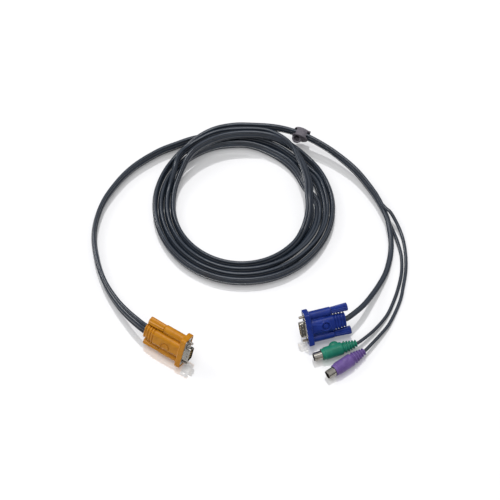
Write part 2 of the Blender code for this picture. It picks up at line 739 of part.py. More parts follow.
def make_clip(finish, place, ahead, lean):
    """A cord clip: a drum across the trunk with a slot for it, a nose with a blind hole, and two latch tabs."""
    left = Vector((-ahead.y, ahead.x, 0)).normalized()
    across = Vector((0, 0, 1)) * math.cos(lean) + left * math.sin(lean)
    facing = ahead.cross(across).normalized()
    holder = frame_from("clip_place", place, facing, facing.cross(ahead))
    half = CLIP_DRUM_LENGTH / 2
    drum, nose = circle_outline(CLIP_DRUM_D, 32), circle_outline(CLIP_NOSE_D, 32)
    bore = circle_outline(CLIP_BORE_D, 32)
    tip = half + CLIP_NOSE_LENGTH
    stations = ((-half, drum), (half, drum), (half, nose), (tip, nose), (tip, bore), (tip - CLIP_BORE_DEPTH, bore))
    clip = shape(node("cord_clip", finish, holder), loft(stations))
    slot_height = TRUNK_HEIGHT + 2 * CLIP_SLOT_GAP
    slot_width = VIDEO_CORD_D + 2 * CLIP_SLOT_GAP
    slot = box_outline(CLIP_DRUM_D * 1.5, slot_height, SEAT_GAP, 1)
    combine(clip, tool("clip_slot", loft(((-slot_width / 2, slot), (slot_width / 2, slot))), holder), "DIFFERENCE")
    tabs = bmesh.new()
    depth, reach, height = CLIP_TAB
    for at in CLIP_TAB_HEIGHTS:
        rim = math.sqrt((CLIP_DRUM_D / 2) ** 2 - at ** 2)
        turn = Matrix.Translation((-half + depth / 2, rim, at))
        block = box_outline(reach, height, height / 4, 2)
        loft(((-depth / 2, block), (depth / 2 - OVERLAP, block)), turn=turn, shell=tabs)
    combine(clip, tool("clip_tabs", tabs, holder), "UNION")


def tail_points(holder, length):
    """Where a cord starts, a seat gap behind a plug's tail, and a point straight behind that."""
    return [tuple(holder.matrix_world @ Vector((-length - gap, 0, 0))) for gap in (SEAT_GAP, STRAIGHT_END)]


def make_cords(finish, holders):
    """The trunk's three cords on both sides of the coil, and the branches to the three plugs."""
    console, monitor, mouse, keyboard = holders
    end, behind = ((*point, -CONSOLE_POSE[3]) for point in tail_points(console, CONSOLE_LENGTH))
    left_trunk = [end] + sampled([behind] + route(LEFT_ROUTE))
    offsets = (("keyboard_cord", CORD_PITCH, DATA_CORD_D), ("video_cord", 0.0, VIDEO_CORD_D),
               ("mouse_cord", -CORD_PITCH, DATA_CORD_D))
    for name, offset, diameter in offsets:
        tube(name + "_left", cord_of_trunk(left_trunk, offset), diameter, finish)

    right_trunk = sampled(route(RIGHT_ROUTE))
    branches = {
        "keyboard_cord": (KEYBOARD_ROUTE, tail_points(keyboard, grip_length())),
        "video_cord": (VIDEO_ROUTE, tail_points(monitor, MONITOR_LENGTH)),
        "mouse_cord": (MOUSE_ROUTE, tail_points(mouse, grip_length())),
    }
    for name, offset, diameter in offsets:
        branch, (end, behind) = branches[name]
        trunk = cord_of_trunk(right_trunk, offset)
        line = [tuple(p) for p in trunk] + route(branch) + [behind]
        tube(name + "_right", sampled(line, STEP_DIAMETERS * diameter) + [end], diameter, finish)
    place = Vector(route(RIGHT_ROUTE)[CLIP_POINT][:3])
    before, after = route(RIGHT_ROUTE)[CLIP_POINT - 1], route(RIGHT_ROUTE)[CLIP_POINT + 1]
    ahead = (Vector(after[:3]) - Vector(before[:3])).normalized()
    return place, ahead, math.radians(RIGHT_ROUTE[CLIP_POINT][3])


def main():
    """Builds the whole cable."""
    clear_scene()
    slate = material("cord_jacket", (0.045, 0.053, 0.068), 0.45)
    orange = material("orange_pvc", (0.62, 0.26, 0.02), 0.42)
    blue = material("blue_pvc", (0.015, 0.035, 0.30), 0.38)
    green = material("green_pvc", (0.02, 0.30, 0.17), 0.45)
    purple = material("purple_pvc", (0.17, 0.10, 0.35), 0.45)
    nickel = material("nickel", (0.62, 0.60, 0.56), 0.25, 1.0)
    gold = material("gilt_contact", (0.75, 0.52, 0.20), 0.25, 1.0)
    steel = material("steel", (0.45, 0.42, 0.38), 0.32, 1.0)
    black = material("black_insulator", (0.012, 0.012, 0.013), 0.5)
    grey = material("grey_clip", (0.09, 0.085, 0.10), 0.65)

    half_width = PLATE_LENGTH / 2 + SEAT_GAP + FLANGE_RIM
    half_thickness = PLATE_WIDTH / 2 + SEAT_GAP + FLANGE_RIM
    console = edge_frame("console_plug", CONSOLE_POSE, half_width, half_thickness, FLANGE_CORNER_R)
    monitor = edge_frame("monitor_plug", MONITOR_POSE, half_width, half_thickness, FLANGE_CORNER_R)
    mouse = flat_frame("mouse_plug", MOUSE_POSE, ROUND_BODY_D / 2)
    keyboard = flat_frame("keyboard_plug", KEYBOARD_POSE, ROUND_BODY_D / 2)
    bpy.context.view_layer.update()

    console_insulator = make_front("console", console, nickel, black)
    make_fused_pins("console", console_insulator, console)
    make_hood("console", orange, console, CONSOLE_WIDTH, CONSOLE_THICKNESS,
              (CONSOLE_TAIL_WIDTH, CONSOLE_TAIL_THICKNESS), CONSOLE_LENGTH,
              (CONSOLE_RING_SIZE, CONSOLE_RING_HEIGHT, CONSOLE_RING_AT, CONSOLE_RING_SIDE))
    make_thumbscrews("console", orange, steel, console, CONSOLE_KNOB_LENGTH)

    make_front("monitor", monitor, nickel, black)
    make_pins("monitor", gold, monitor)
    make_hood("monitor", blue, monitor, MONITOR_WIDTH, MONITOR_THICKNESS,
              (MONITOR_TAIL_WIDTH, MONITOR_TAIL_THICKNESS), MONITOR_LENGTH,
              (MONITOR_RING_SIZE, MONITOR_RING_HEIGHT, MONITOR_RING_AT, 0.0))
    make_thumbscrews("monitor", blue, steel, monitor, MONITOR_KNOB_LENGTH)

    make_round_plug("mouse", green, nickel, black, mouse, THUMB_PAD_HEIGHT)
    make_round_plug("keyboard", purple, nickel, black, keyboard, THUMB_PAD_HEIGHT / 2)

    place, ahead, lean = make_cords(slate, (console, monitor, mouse, keyboard))
    make_coil(slate)
    make_clip(grey, place, ahead, lean)


main()
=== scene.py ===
"""Looks of a keyboard, video and mouse cable for a console switch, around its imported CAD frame.

The three cords of the bonded trunk are curves that run the whole way from the console plug, through the coil and
the clip, to their own plugs. Hoods, grips, knobs, shells, contacts and the clip are finer pieces that replace the
CAD nodes of the same places. Lengths are in metres, +Z is up and the table is at Z = 0.
"""

import logging
import math
from collections.abc import Iterable, Sequence
from dataclasses import dataclass
from enum import Enum

import bmesh
import bpy
from mathutils import Matrix, Vector

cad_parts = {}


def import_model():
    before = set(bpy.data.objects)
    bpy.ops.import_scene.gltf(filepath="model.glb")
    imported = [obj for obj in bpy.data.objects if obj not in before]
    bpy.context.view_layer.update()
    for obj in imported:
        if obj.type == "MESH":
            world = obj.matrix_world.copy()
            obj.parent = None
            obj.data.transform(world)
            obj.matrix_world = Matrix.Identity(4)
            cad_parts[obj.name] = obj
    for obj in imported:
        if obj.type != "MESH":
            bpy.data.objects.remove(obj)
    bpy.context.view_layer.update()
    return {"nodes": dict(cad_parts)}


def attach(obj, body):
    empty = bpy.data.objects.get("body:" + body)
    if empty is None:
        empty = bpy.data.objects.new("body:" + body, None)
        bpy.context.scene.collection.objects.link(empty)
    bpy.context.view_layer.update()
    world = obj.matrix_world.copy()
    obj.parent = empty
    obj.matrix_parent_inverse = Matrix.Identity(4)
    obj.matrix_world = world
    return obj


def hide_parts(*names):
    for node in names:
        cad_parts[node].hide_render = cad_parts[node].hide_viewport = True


MM = 0.001
LOG = logging.getLogger("kvm_cable")
Colour = tuple[float, float, float]
Point = tuple[float, float, float]
Outline = list[tuple[float, float]]


class Slot(Enum):
    """The record's material slots."""

    JACKET = "cord_jacket"
    ORANGE = "orange_pvc"
    BLUE = "blue_pvc"
    GREEN = "green_pvc"
    PURPLE = "purple_pvc"
    NICKEL = "nickel"
    CONTACT = "gilt_contact"
    STEEL = "steel"
    INSULATOR = "black_insulator"
    CLIP = "grey_clip"


class Lane(Enum):
    """The trunk's three cords, by their place across the standing trunk from its middle."""

    KEYBOARD = 1
    VIDEO = 0
    MOUSE = -1


class ScrewSide(Enum):
    """The two thumbscrews of a D plug, by their side of its middle."""

    A = -1
    B = 1


# Finishes


@dataclass(frozen=True)
class Finish:
    """A procedural finish: a mottled colour, an uneven gloss and a fine surface grain.

    Attributes:
        slot: The record's slot that the finish stands for.
        dark: Linear colour in the mottle's low parts.
        light: Linear colour in the mottle's high parts.
        gloss: Lowest and highest roughness.
        metallic: 1 for bare metal, 0 for plastics.
        mottle: Size of the colour patches in metres.
        grain: Size of the surface grain in metres.
        relief: Height of the surface grain in metres.
        edge: How much lighter worn edges are, from 0 to 1.
        specular: Level of the surface's mirror-like share.
    """

    slot: Slot
    dark: Colour
    light: Colour
    gloss: tuple[float, float]
    metallic: float = 0.0
    mottle: float = 6 * MM
    grain: float = 0.5 * MM
    relief: float = 0.02 * MM
    edge: float = 0.0
    specular: float = 0.3

    def make(self) -> bpy.types.Material:
        """Makes the material.

        Returns:
            The material, read on Object coordinates.
        """
        finish = bpy.data.materials.new(self.slot.value)
        finish.use_nodes = True
        nodes, links = finish.node_tree.nodes, finish.node_tree.links
        shader = nodes["Principled BSDF"]
        shader.inputs["Metallic"].default_value = self.metallic
        shader.inputs["Specular IOR Level"].default_value = 0.5 if self.metallic else self.specular
        place = nodes.new("ShaderNodeTexCoord").outputs["Object"]

        patches = self._noise(nodes, links, place, self.mottle, 4.0)
        colour = nodes.new("ShaderNodeValToRGB")
        colour.color_ramp.elements[0].position = 0.35
        colour.color_ramp.elements[0].color = (*self.dark, 1.0)
        colour.color_ramp.elements[1].position = 0.65
        colour.color_ramp.elements[1].color = (*self.light, 1.0)
        links.new(patches, colour.inputs["Fac"])
        surface = colour.outputs["Color"]
        if self.edge:
            surface = self._worn(nodes, links, surface)
        links.new(surface, shader.inputs["Base Color"])

        fine = self._noise(nodes, links, place, self.grain, 3.0)
        rough = nodes.new("ShaderNodeMapRange")
        rough.inputs["To Min"].default_value = self.gloss[0]
        rough.inputs["To Max"].default_value = self.gloss[1]
        links.new(patches, rough.inputs["Value"])
        links.new(rough.outputs["Result"], shader.inputs["Roughness"])

        bump = nodes.new("ShaderNodeBump")
        bump.inputs["Strength"].default_value = 0.5
        bump.inputs["Distance"].default_value = self.relief
        links.new(fine, bump.inputs["Height"])
        links.new(bump.outputs["Normal"], shader.inputs["Normal"])
        return finish

    def _noise(self, nodes: bpy.types.Nodes, links: bpy.types.NodeLinks, place: bpy.types.NodeSocket,
               size: float, detail: float) -> bpy.types.NodeSocket:
        """Adds a noise of a given feature size.

        Args:
            nodes: The material's nodes.
            links: The material's links.
            place: The coordinate it reads.
            size: Feature size in metres.
            detail: Octaves.

        Returns:
            Its value, about 0.5 in the middle.
        """
        noise = nodes.new("ShaderNodeTexNoise")
        noise.inputs["Scale"].default_value = 1.0 / size
        noise.inputs["Detail"].default_value = detail
        links.new(place, noise.inputs["Vector"])
        return noise.outputs["Fac"]

    def _worn(self, nodes: bpy.types.Nodes, links: bpy.types.NodeLinks,
              surface: bpy.types.NodeSocket) -> bpy.types.NodeSocket:
        """Lightens the rounded edges, where handling polishes the plastic.

        Args:
            nodes: The material's nodes.
            links: The material's links.
            surface: The colour before wear.

        Returns:
            The colour with worn edges.
        """
        point = nodes.new("ShaderNodeNewGeometry").outputs["Pointiness"]
        span = nodes.new("ShaderNodeMapRange")
        span.inputs["From Min"].default_value = 0.51
        span.inputs["From Max"].default_value = 0.58
        span.inputs["To Max"].default_value = self.edge
        links.new(point, span.inputs["Value"])
        mix = nodes.new("ShaderNodeMix")
        mix.data_type = "RGBA"
        lit = tuple(min(1.0, c * 1.4 + 0.015) for c in self.light)
        mix.inputs["B"].default_value = (*lit, 1.0)
        links.new(span.outputs["Result"], mix.inputs["Factor"])
        links.new(surface, mix.inputs["A"])
        return mix.outputs["Result"]


FINISHES = {
    finish.slot: finish
    for finish in (
        Finish(Slot.JACKET, (0.017, 0.024, 0.036), (0.023, 0.032, 0.047), (0.15, 0.22), mottle=16 * MM,
               grain=0.7 * MM, relief=0.010 * MM, specular=0.55),
        Finish(Slot.ORANGE, (0.46, 0.175, 0.002), (0.55, 0.225, 0.006), (0.30, 0.42), edge=0.4),
        Finish(Slot.BLUE, (0.006, 0.022, 0.175), (0.009, 0.032, 0.245), (0.24, 0.36), edge=0.3),
        Finish(Slot.GREEN, (0.007, 0.155, 0.095), (0.012, 0.205, 0.130), (0.30, 0.42), edge=0.3),
        Finish(Slot.PURPLE, (0.118, 0.068, 0.240), (0.155, 0.092, 0.305), (0.30, 0.42), edge=0.3),
        # Painted reflection: the nickel's dark and light colours are painted well below bare nickel, so its faces show
        # the dark surroundings they reflect.
        Finish(Slot.NICKEL, (0.28, 0.265, 0.235), (0.38, 0.36, 0.325), (0.08, 0.15), metallic=1.0, mottle=4 * MM,
               grain=0.25 * MM, relief=0.004 * MM),
        Finish(Slot.CONTACT, (0.70, 0.47, 0.17), (0.83, 0.60, 0.27), (0.16, 0.28), metallic=1.0, mottle=1 * MM,
               grain=0.2 * MM, relief=0.003 * MM),
        Finish(Slot.STEEL, (0.40, 0.37, 0.33), (0.52, 0.48, 0.43), (0.22, 0.38), metallic=1.0, mottle=2 * MM,
               grain=0.2 * MM, relief=0.006 * MM),
        Finish(Slot.INSULATOR, (0.010, 0.010, 0.011), (0.018, 0.018, 0.020), (0.42, 0.58), mottle=3 * MM,
               grain=0.3 * MM, relief=0.015 * MM),
        Finish(Slot.CLIP, (0.105, 0.096, 0.112), (0.165, 0.152, 0.172), (0.60, 0.80), mottle=1.4 * MM,
               grain=0.6 * MM, relief=0.12 * MM, edge=0.3),
    )
}


class Paints:
    """The materials in use, made once each."""

    _made: dict[Slot, bpy.types.Material] = {}

    @classmethod
    def get(cls, slot: Slot) -> bpy.types.Material:
        """The material for a slot."""
        if slot not in cls._made:
            cls._made[slot] = FINISHES[slot].make()
        return cls._made[slot]


# Shapes


def bevelled(corners: Sequence[tuple[float, float]], radius: float, segments: int, x: float,
             solid: bmesh.types.BMesh) -> bmesh.types.BMFace:
    """Makes a face across X from its corners and rounds them.

    Args:
        corners: The corners as (y, z), in order.
        radius: Corner radius.
        segments: Segments in each round corner.
        x: Where the face stands.
        solid: The mesh that gets it.

    Returns:
        The face.
    """
    verts = [solid.verts.new((x, y, z)) for y, z in corners]
    solid.faces.new(verts)
    bmesh.ops.bevel(solid, geom=verts, offset=radius, segments=segments, profile=0.5, affect="VERTICES",
                    material=-1, offset_type="OFFSET")
    return max(solid.faces, key=lambda found: found.calc_area())


def rectangle(width: float, height: float) -> list[tuple[float, float]]:
    """Corners of a rectangle round the origin, as (y, z)."""
    y, z = width / 2, height / 2
    return [(-y, -z), (y, -z), (y, z), (-y, z)]


def march(solid: bmesh.types.BMesh, face: bmesh.types.BMFace, size: tuple[float, float],
          stations: Iterable[tuple[float, float, float]]) -> bmesh.types.BMFace:
    """Extrudes a face along X, giving it a new width and height at each station.

    Args:
        solid: The mesh that the face is in.
        face: The face to extrude.
        size: Its width and height.
        stations: The stops, each as x, width and height.

    Returns:
        The last face.
    """
    wide, high = size
    for x, new_wide, new_high in stations:
        grown = bmesh.ops.extrude_face_region(solid, geom=[face])
        face = next(g for g in grown["geom"] if isinstance(g, bmesh.types.BMFace))
        shift = x - face.verts[0].co.x
        bmesh.ops.translate(solid, vec=(shift, 0, 0), verts=face.verts)
        middle = Matrix.Translation((-x, 0, 0))
        bmesh.ops.scale(solid, vec=(1, new_wide / wide, new_high / high), space=middle, verts=face.verts)
        wide, high = new_wide, new_high
    return face


def block(width: float, height: float, radius: float, stations: Sequence[tuple[float, float, float]],
          segments: int = 6) -> bmesh.types.BMesh:
    """A solid of rounded rectangles along X.

    Args:
        width: Width along Y that the corner radius is made at.
        height: Height along Z that the corner radius is made at.
        radius: Corner radius.
        stations: Each stop's x, width and height.
        segments: Segments in each round corner.

    Returns:
        The closed mesh.
    """
    solid = bmesh.new()
    face = bevelled(rectangle(width, height), radius, segments, stations[0][0], solid)
    bmesh.ops.scale(solid, vec=(1, stations[0][1] / width, stations[0][2] / height), verts=face.verts)
    march(solid, face, stations[0][1:], stations[1:])
    return solid


def turned(profile: Sequence[tuple[float, float]], sides: int) -> bmesh.types.BMesh:
    """Spins a profile round the X axis.

    Args:
        profile: Points as (x, radius), from axis to axis or closed on itself.
        sides: Steps in the full turn.

    Returns:
        The mesh, with its doubles merged.
    """
    solid = bmesh.new()
    verts = [solid.verts.new((x, 0, radius)) for x, radius in profile]
    edges = [solid.edges.new(pair) for pair in zip(verts, verts[1:])]
    bmesh.ops.spin(solid, geom=verts + edges, cent=(0, 0, 0), axis=(1, 0, 0), angle=2 * math.pi,
                   steps=sides, use_merge=True, use_duplicate=False)
    bmesh.ops.remove_doubles(solid, verts=solid.verts, dist=1e-6)
    return solid


def merged(parts: Iterable[bmesh.types.BMesh]) -> bmesh.types.BMesh:
    """Puts several solids in one mesh and frees them.

    Args:
        parts: The solids.

    Returns:
        One mesh of them all.
    """
    whole = bmesh.new()
    for part in parts:
        mesh = bpy.data.meshes.new("part")
        bmesh.ops.recalc_face_normals(part, faces=part.faces)
        part.to_mesh(mesh)
        part.free()
        whole.from_mesh(mesh)
        bpy.data.meshes.remove(mesh)
    return whole


def moved(solid: bmesh.types.BMesh, turn: Matrix) -> bmesh.types.BMesh:
    """The same solid after a transform."""
    bmesh.ops.transform(solid, matrix=turn, verts=solid.verts)
    return solid


def add_piece(name: str, solid: bmesh.types.BMesh, place: Matrix, slot: Slot, angle: float = 35.0) -> bpy.types.Object:
    """Makes an object of a finished solid, with its place in its mesh.

    Args:
        name: The piece's name.
        solid: Its mesh, in its plug's frame.
        place: The plug's frame.
        slot: Its finish.
        angle: Edges sharper than this, in degrees, stay sharp.

    Returns:
        The object, at the origin.
    """
    bmesh.ops.transform(solid, matrix=place, verts=solid.verts)
    bmesh.ops.recalc_face_normals(solid, faces=solid.faces)
    mesh = bpy.data.meshes.new(name)
    solid.to_mesh(mesh)
    solid.free()
    mesh.shade_smooth()
    mesh.set_sharp_from_angle(angle=math.radians(angle))
    thing = bpy.data.objects.new(name, mesh)
    bpy.context.scene.collection.objects.link(thing)
    thing.data.materials.append(Paints.get(slot))
    return thing


def bake_modifiers(thing: bpy.types.Object) -> bpy.types.Object:
    """Gives an object the mesh that its modifiers make, and drops them."""
    graph = bpy.context.evaluated_depsgraph_get()
    result = bpy.data.meshes.new_from_object(thing.evaluated_get(graph))
    thing.modifiers.clear()
    old, thing.data = thing.data, result
    bpy.data.meshes.remove(old)
    return thing


def cut(thing: bpy.types.Object, other: bmesh.types.BMesh, place: Matrix, operation: str = "DIFFERENCE") -> None:
    """Cuts a solid from a piece, or adds it, with an exact boolean.

    Args:
        thing: The piece.
        other: The solid, in the plug's frame.
        place: The plug's frame.
        operation: The boolean's name.
    """
    helper = add_piece("helper", other, place, Slot.STEEL)
    step = thing.modifiers.new("cut", "BOOLEAN")
    step.object = helper
    step.operation = operation
    step.solver = "EXACT"
    step.use_self = True
    bake_modifiers(thing)
    bpy.data.objects.remove(helper, do_unlink=True)


def mould(thing: bpy.types.Object, voxel: float, rounds: int) -> None:
    """Melts a piece's overlapping solids into one skin with soft inner corners, as a moulding has.

    Args:
        thing: The piece.
        voxel: Voxel size.
        rounds: Smoothing rounds.
    """
    skin = thing.modifiers.new("skin", "REMESH")
    skin.mode = "VOXEL"
    skin.voxel_size = voxel
    skin.use_smooth_shade = True
    soften = thing.modifiers.new("soften", "SMOOTH")
    soften.factor = 0.5
    soften.iterations = rounds
    bake_modifiers(thing)
    thing.data.shade_smooth()


# Cords

TABLE_SHIFT = (4.258, -25.69)


def on_table(x: float, y: float, z: float) -> Vector:
    """A point given in mm on the table, in the frame's own metres."""
    return Vector((x - TABLE_SHIFT[0], y - TABLE_SHIFT[1], z)) * MM


def between(knots: Sequence[tuple[float, ...]], at: float) -> list[float]:
    """Values between knots, without overshoot.

    Args:
        knots: Rows of a position and its values.
        at: The position.

    Returns:
        The values there.
    """
    k = max(i for i in range(len(knots) - 1) if knots[i][0] <= at or i == 0)
    here, there = knots[k], knots[k + 1]
    span = there[0] - here[0]
    t = min(1.0, max(0.0, (at - here[0]) / span))
    values = []
    for column in range(1, len(here)):
        step = (there[column] - here[column]) / span
        slopes = []
        for side, row in ((k, here), (k + 1, there)):
            if side in (0, len(knots) - 1):
                slopes.append(0.0)
                continue
            low = (row[column] - knots[side - 1][column]) / (row[0] - knots[side - 1][0])
            high = (knots[side + 1][column] - row[column]) / (knots[side + 1][0] - row[0])
            slopes.append(2 * low * high / (low + high) if low * high > 0 else 0.0)
        a, b = slopes[0] * span, slopes[1] * span
        rise = step * span
        values.append(here[column] + t * a + t * t * (3 * rise - 2 * a - b) + t ** 3 * (a + b - 2 * rise))
    return values


def smooth(points: Sequence[Sequence[float]], step: float) -> list[tuple[float, ...]]:
    """Even samples on a smooth curve through points.

    Args:
        points: The points, each x, y, z and any other values.
        step: Spacing of the samples.

    Returns:
        The samples, with as many values each.
    """
    fine = []
    for i in range(len(points) - 1):
        p0, p1 = points[max(i - 1, 0)], points[i]
        p2, p3 = points[i + 1], points[min(i + 2, len(points) - 1)]
        for k in range(12):
            t = k / 12
            fine.append(tuple(
                0.5 * (2 * b + (c - a) * t + (2 * a - 5 * b + 4 * c - d) * t * t + (3 * b - a - 3 * c + d) * t ** 3)
                for a, b, c, d in zip(p0, p1, p2, p3)
            ))
    fine.append(tuple(points[-1]))
    along = [0.0]
    for a, b in zip(fine, fine[1:]):
        along.append(along[-1] + math.dist(a[:3], b[:3]))
    count = round(along[-1] / step) + 1
    samples, j = [], 0
    for k in range(count):
        target = along[-1] * k / (count - 1)
        while j < len(fine) - 2 and along[j + 1] < target:
            j += 1
        span = along[j + 1] - along[j]
        t = (target - along[j]) / span if span else 0.0
        samples.append(tuple(a + (b - a) * t for a, b in zip(fine[j], fine[j + 1])))
    return samples


def length_of(line: Sequence[Sequence[float]]) -> float:
    """Length of a chain of points."""
    return sum(math.dist(a[:3], b[:3]) for a, b in zip(line, line[1:]))


@dataclass(frozen=True)
class PlugPlace:
    """Where a plug stands: its front face's middle, the way its front points and the way its face looks."""

    origin: Point
    front: Point
    face: Point

    def matrix(self) -> Matrix:
        """The plug's frame."""
        x_axis, z_axis = Vector(self.front).normalized(), Vector(self.face).normalized()
        y_axis = z_axis.cross(x_axis)
        return Matrix.Translation(self.origin) @ Matrix((x_axis, y_axis, z_axis)).transposed().to_4x4()

    def behind(self, distance: float) -> Vector:
        """A point on the plug's axis behind its front face."""
        return self.matrix() @ Vector((-distance, 0, 0))


CONSOLE = PlugPlace((-0.065858, -0.11521, 0.01828), (0.83867, -0.54464, 0), (-0.49755, -0.76616, 0.40674))
MONITOR = PlugPlace((0.049342, -0.08921, 0.01777), (-0.96363, -0.26724, 0), (0.2162, -0.77959, 0.58779))
MOUSE = PlugPlace((0.065142, -0.11211, 0.0065), (-0.93544, -0.35347, 0), (-0.29976, 0.7933, 0.52992))
KEYBOARD = PlugPlace((0.077142, -0.12971, 0.0065), (-0.80282, -0.59622, 0), (-0.12396, 0.16692, 0.97815))
CLIP = PlugPlace((0.046342, 0.13099, 0.0168), (-0.36033, -0.92239, -0.13915), (0.05917, -0.17148, 0.98341))


@dataclass(frozen=True)
class CordRun:
    """One cord: its lane in the trunk, diameter, branch after the split and plug at its end.

    Attributes:
        lane: Its place in the trunk.
        diameter: Its diameter.
        branch: Table points in mm after the split.
        plug: The plug's place.
        reach: Length of the plug behind its front face.
        nodes: The CAD nodes that it replaces.
    """

    lane: Lane
    diameter: float
    branch: tuple[Point, ...]
    plug: PlugPlace
    reach: float
    nodes: tuple[str, ...]


@dataclass
class Trunk:
    """The bonded trunk of three cords: console plug, left run, coil, right run, clip and split."""

    video_d: float = 5.6 * MM
    data_d: float = 3.4 * MM
    coil_centre: tuple[float, float] = (-8.0, 30.0)
    lane_radius: float = 67.8
    lane_pitch: float = 5.9
    step: float = 3.5 * MM
    tail_depth: float = 2.0 * MM
    console_length: float = 46.0 * MM
    console_lean: float = -24.0
    # x, y, height in mm and lean in degrees, from the console plug to the coil
    left: tuple[tuple[float, float, float, float], ...] = (
        (-110.6, -106.4, 16.8, -22),
        (-119.4, -95.8, 13.6, -18),
        (-129.2, -81.6, 10.2, -11),
        (-140.6, -60.2, 7.4, -5),
        (-149.1, -34.0, 6.7, 0),
        (-152.8, -3.0, 6.7, 0),
        (-146.6, 27.4, 6.7, 0),
        (-132.9, 52.4, 6.7, 0),
        (-115.0, 73.2, 6.7, 0),
        (-91.4, 90.2, 6.7, 0),
        (-73.7, 98.4, 6.7, 0),
    )
    # clock angle, lane out from the innermost turn, height in mm and lean, through the coil's four turns
    turns: tuple[tuple[float, float, float, float], ...] = (
        (-36, 3.9, 6.7, 0),
        (-28, 3.25, 6.6, 0),
        (-20, 2.55, 6.5, 0),
        (0, 1.55, 6.5, 0),
        (30, 1.2, 6.5, 0),
        (45, 1.0, 6.5, 8),
        (58, 1.4, 6.5, 25),
        (71, 1.95, 6.5, 42),
        (80, 2.07, 6.5, 42),
        (88, 2.27, 6.5, 38),
        (108, 2.62, 6.5, 26),
        (135, 2.35, 6.5, 8),
        (180, 2.1, 6.5, 0),
        (270, 2.0, 6.5, 0),
        (290, 1.85, 6.5, 0),
        (302, 1.55, 6.5, 0),
        (316, 1.3, 6.5, 0),
        (326, 1.1, 6.5, 0),
        (337, 0.9, 6.5, 0),
        (352, 0.56, 6.5, 0),
        (360, 0.5, 6.5, 0),
        (390, -0.1, 6.5, 10),
        (404, -0.15, 6.5, 20),
        (416, -0.25, 6.5, 22),
        (427, -0.4, 6.5, 14),
        (435, -0.2, 6.5, 6),
        (443, 0.5, 6.5, 18),
        (451, 0.98, 6.5, 36),
        (460, 1.15, 6.5, 44),
        (470, 1.25, 6.5, 46),
        (482, 1.18, 6.5, 42),
        (500, 1.05, 6.5, 26),
        (520, 1.05, 6.5, 8),
        (540, 1.05, 6.5, 0),
        (630, 1.0, 6.5, 0),
        (644, 1.0, 8.0, 0),
        (653, 1.05, 14.0, 0),
        (660, 1.35, 19.4, 0),
        (668, 1.85, 19.0, 0),
        (678, 2.15, 15.0, 0),
        (690, 2.0, 17.0, 0),
        (700, 1.9, 19.4, 0),
        (720, 1.75, 19.4, 0),
        (740, 2.15, 19.4, 0),
        (751, 2.0, 19.4, -3),
        (760, 1.67, 19.4, -10),
        (770, 1.05, 19.4, -35),
        (782, 0.45, 19.4, -40),
        (793, 0.1, 19.4, -40),
        (807, -0.3, 18.4, -35),
        (822, -0.12, 13.0, -26),
        (837, -0.08, 7.5, -18),
        (850, 0.0, 6.5, -8),
        (900, 0.0, 6.5, 0),
        (990, 0.0, 6.5, 0),
        (1015, 0.2, 10.0, 0),
        (1040, 0.8, 19.4, 0),
        (1080, 1.05, 19.4, 0),
        (1100, 1.5, 19.4, 0),
        (1120, 2.2, 12.0, 0),
        (1135, 2.8, 6.5, 0),
        (1155, 3.32, 6.5, 0),
        (1170, 3.6, 6.5, 0),
        (1188, 3.72, 6.5, 0),
        (1215, 3.55, 6.5, 0),
        (1260, 3.1, 6.5, 0),
        (1350, 3.0, 6.5, 0),
        (1382, 2.85, 6.5, 0),
        (1396, 2.72, 9.5, 0),
        (1412, 2.6, 16.8, 0),
        (1422, 2.58, 19.4, 0),
        (1440, 2.58, 19.6, 0),
    )
    # x, y, height in mm and lean in degrees, from the coil's top, through the clip, to the split
    right: tuple[tuple[float, float, float, float], ...] = (
        (7.3, 112.3, 19.8, 0),
        (20.0, 111.8, 19.7, -5),
        (34.0, 110.0, 18.7, -8),
        (50.6, 105.3, 16.8, -8),
        (65.2, 98.4, 14.8, -6),
        (83.8, 86.4, 12.0, -3),
        (104.6, 67.3, 9.4, 4),
        (122.1, 42.8, 7.6, 6),
        (131.0, 25.2, 6.8, 3),
    )

    @property
    def pitch(self) -> float:
        """Spacing of the bonded cords across the trunk."""
        return (self.video_d + self.data_d) / 2

    def coil_points(self) -> list[tuple[float, float, float, float]]:
        """The coil's centreline.

        Returns:
            Points in metres with their lean.
        """
        first, last = self.turns[0][0], self.turns[-1][0]
        count = round((last - first) / 6)
        points = []
        for k in range(count + 1):
            clock = first + (last - first) * k / count
            lane, height, lean = between(self.turns, clock)
            radius = self.lane_radius + self.lane_pitch * lane
            x = self.coil_centre[0] + radius * math.sin(math.radians(clock))
            y = self.coil_centre[1] + radius * math.cos(math.radians(clock))
            points.append((*on_table(x, y, height), lean))
        return points

    def middle(self) -> list[tuple[float, ...]]:
        """The trunk's centreline from inside the console hood to the split, with its lean."""
        start = [
            (*CONSOLE.behind(self.console_length - self.tail_depth), self.console_lean),
            (*CONSOLE.behind(self.console_length + 4 * MM), self.console_lean),
        ]
        left = [(*on_table(*p[:3]), p[3]) for p in self.left]
        right = [(*on_table(*p[:3]), p[3]) for p in self.right]
        return smooth(start + left + self.coil_points() + right, self.step)

    def cord_line(self, run: CordRun) -> list[Vector]:
        """One cord's centreline from the console hood into its own plug.

        Args:
            run: The cord.

        Returns:
            Its points.
        """
        middle = self.middle()
        line = []
        for i, point in enumerate(middle):
            before, after = middle[max(i - 1, 0)], middle[min(i + 1, len(middle) - 1)]
            ahead = (Vector(after[:3]) - Vector(before[:3])).normalized()
            left = Vector((-ahead.y, ahead.x, 0)).normalized()
            lean = math.radians(point[3])
            across = ahead.cross(left) * math.cos(lean) + left * math.sin(lean)
            line.append(tuple(Vector(point[:3]) + across * run.lane.value * self.pitch))
        branch = [tuple(on_table(*p)) for p in run.branch]
        ends = [tuple(run.plug.behind(run.reach + gap)) for gap in (2 * MM, -self.tail_depth)]
        tail = smooth(line[-3:] + branch + ends, self.step)
        joint = next(i for i, p in enumerate(tail) if math.dist(p, line[-1]) < self.step)
        return [Vector(p) for p in line[:-1] + tail[joint + 1:]]

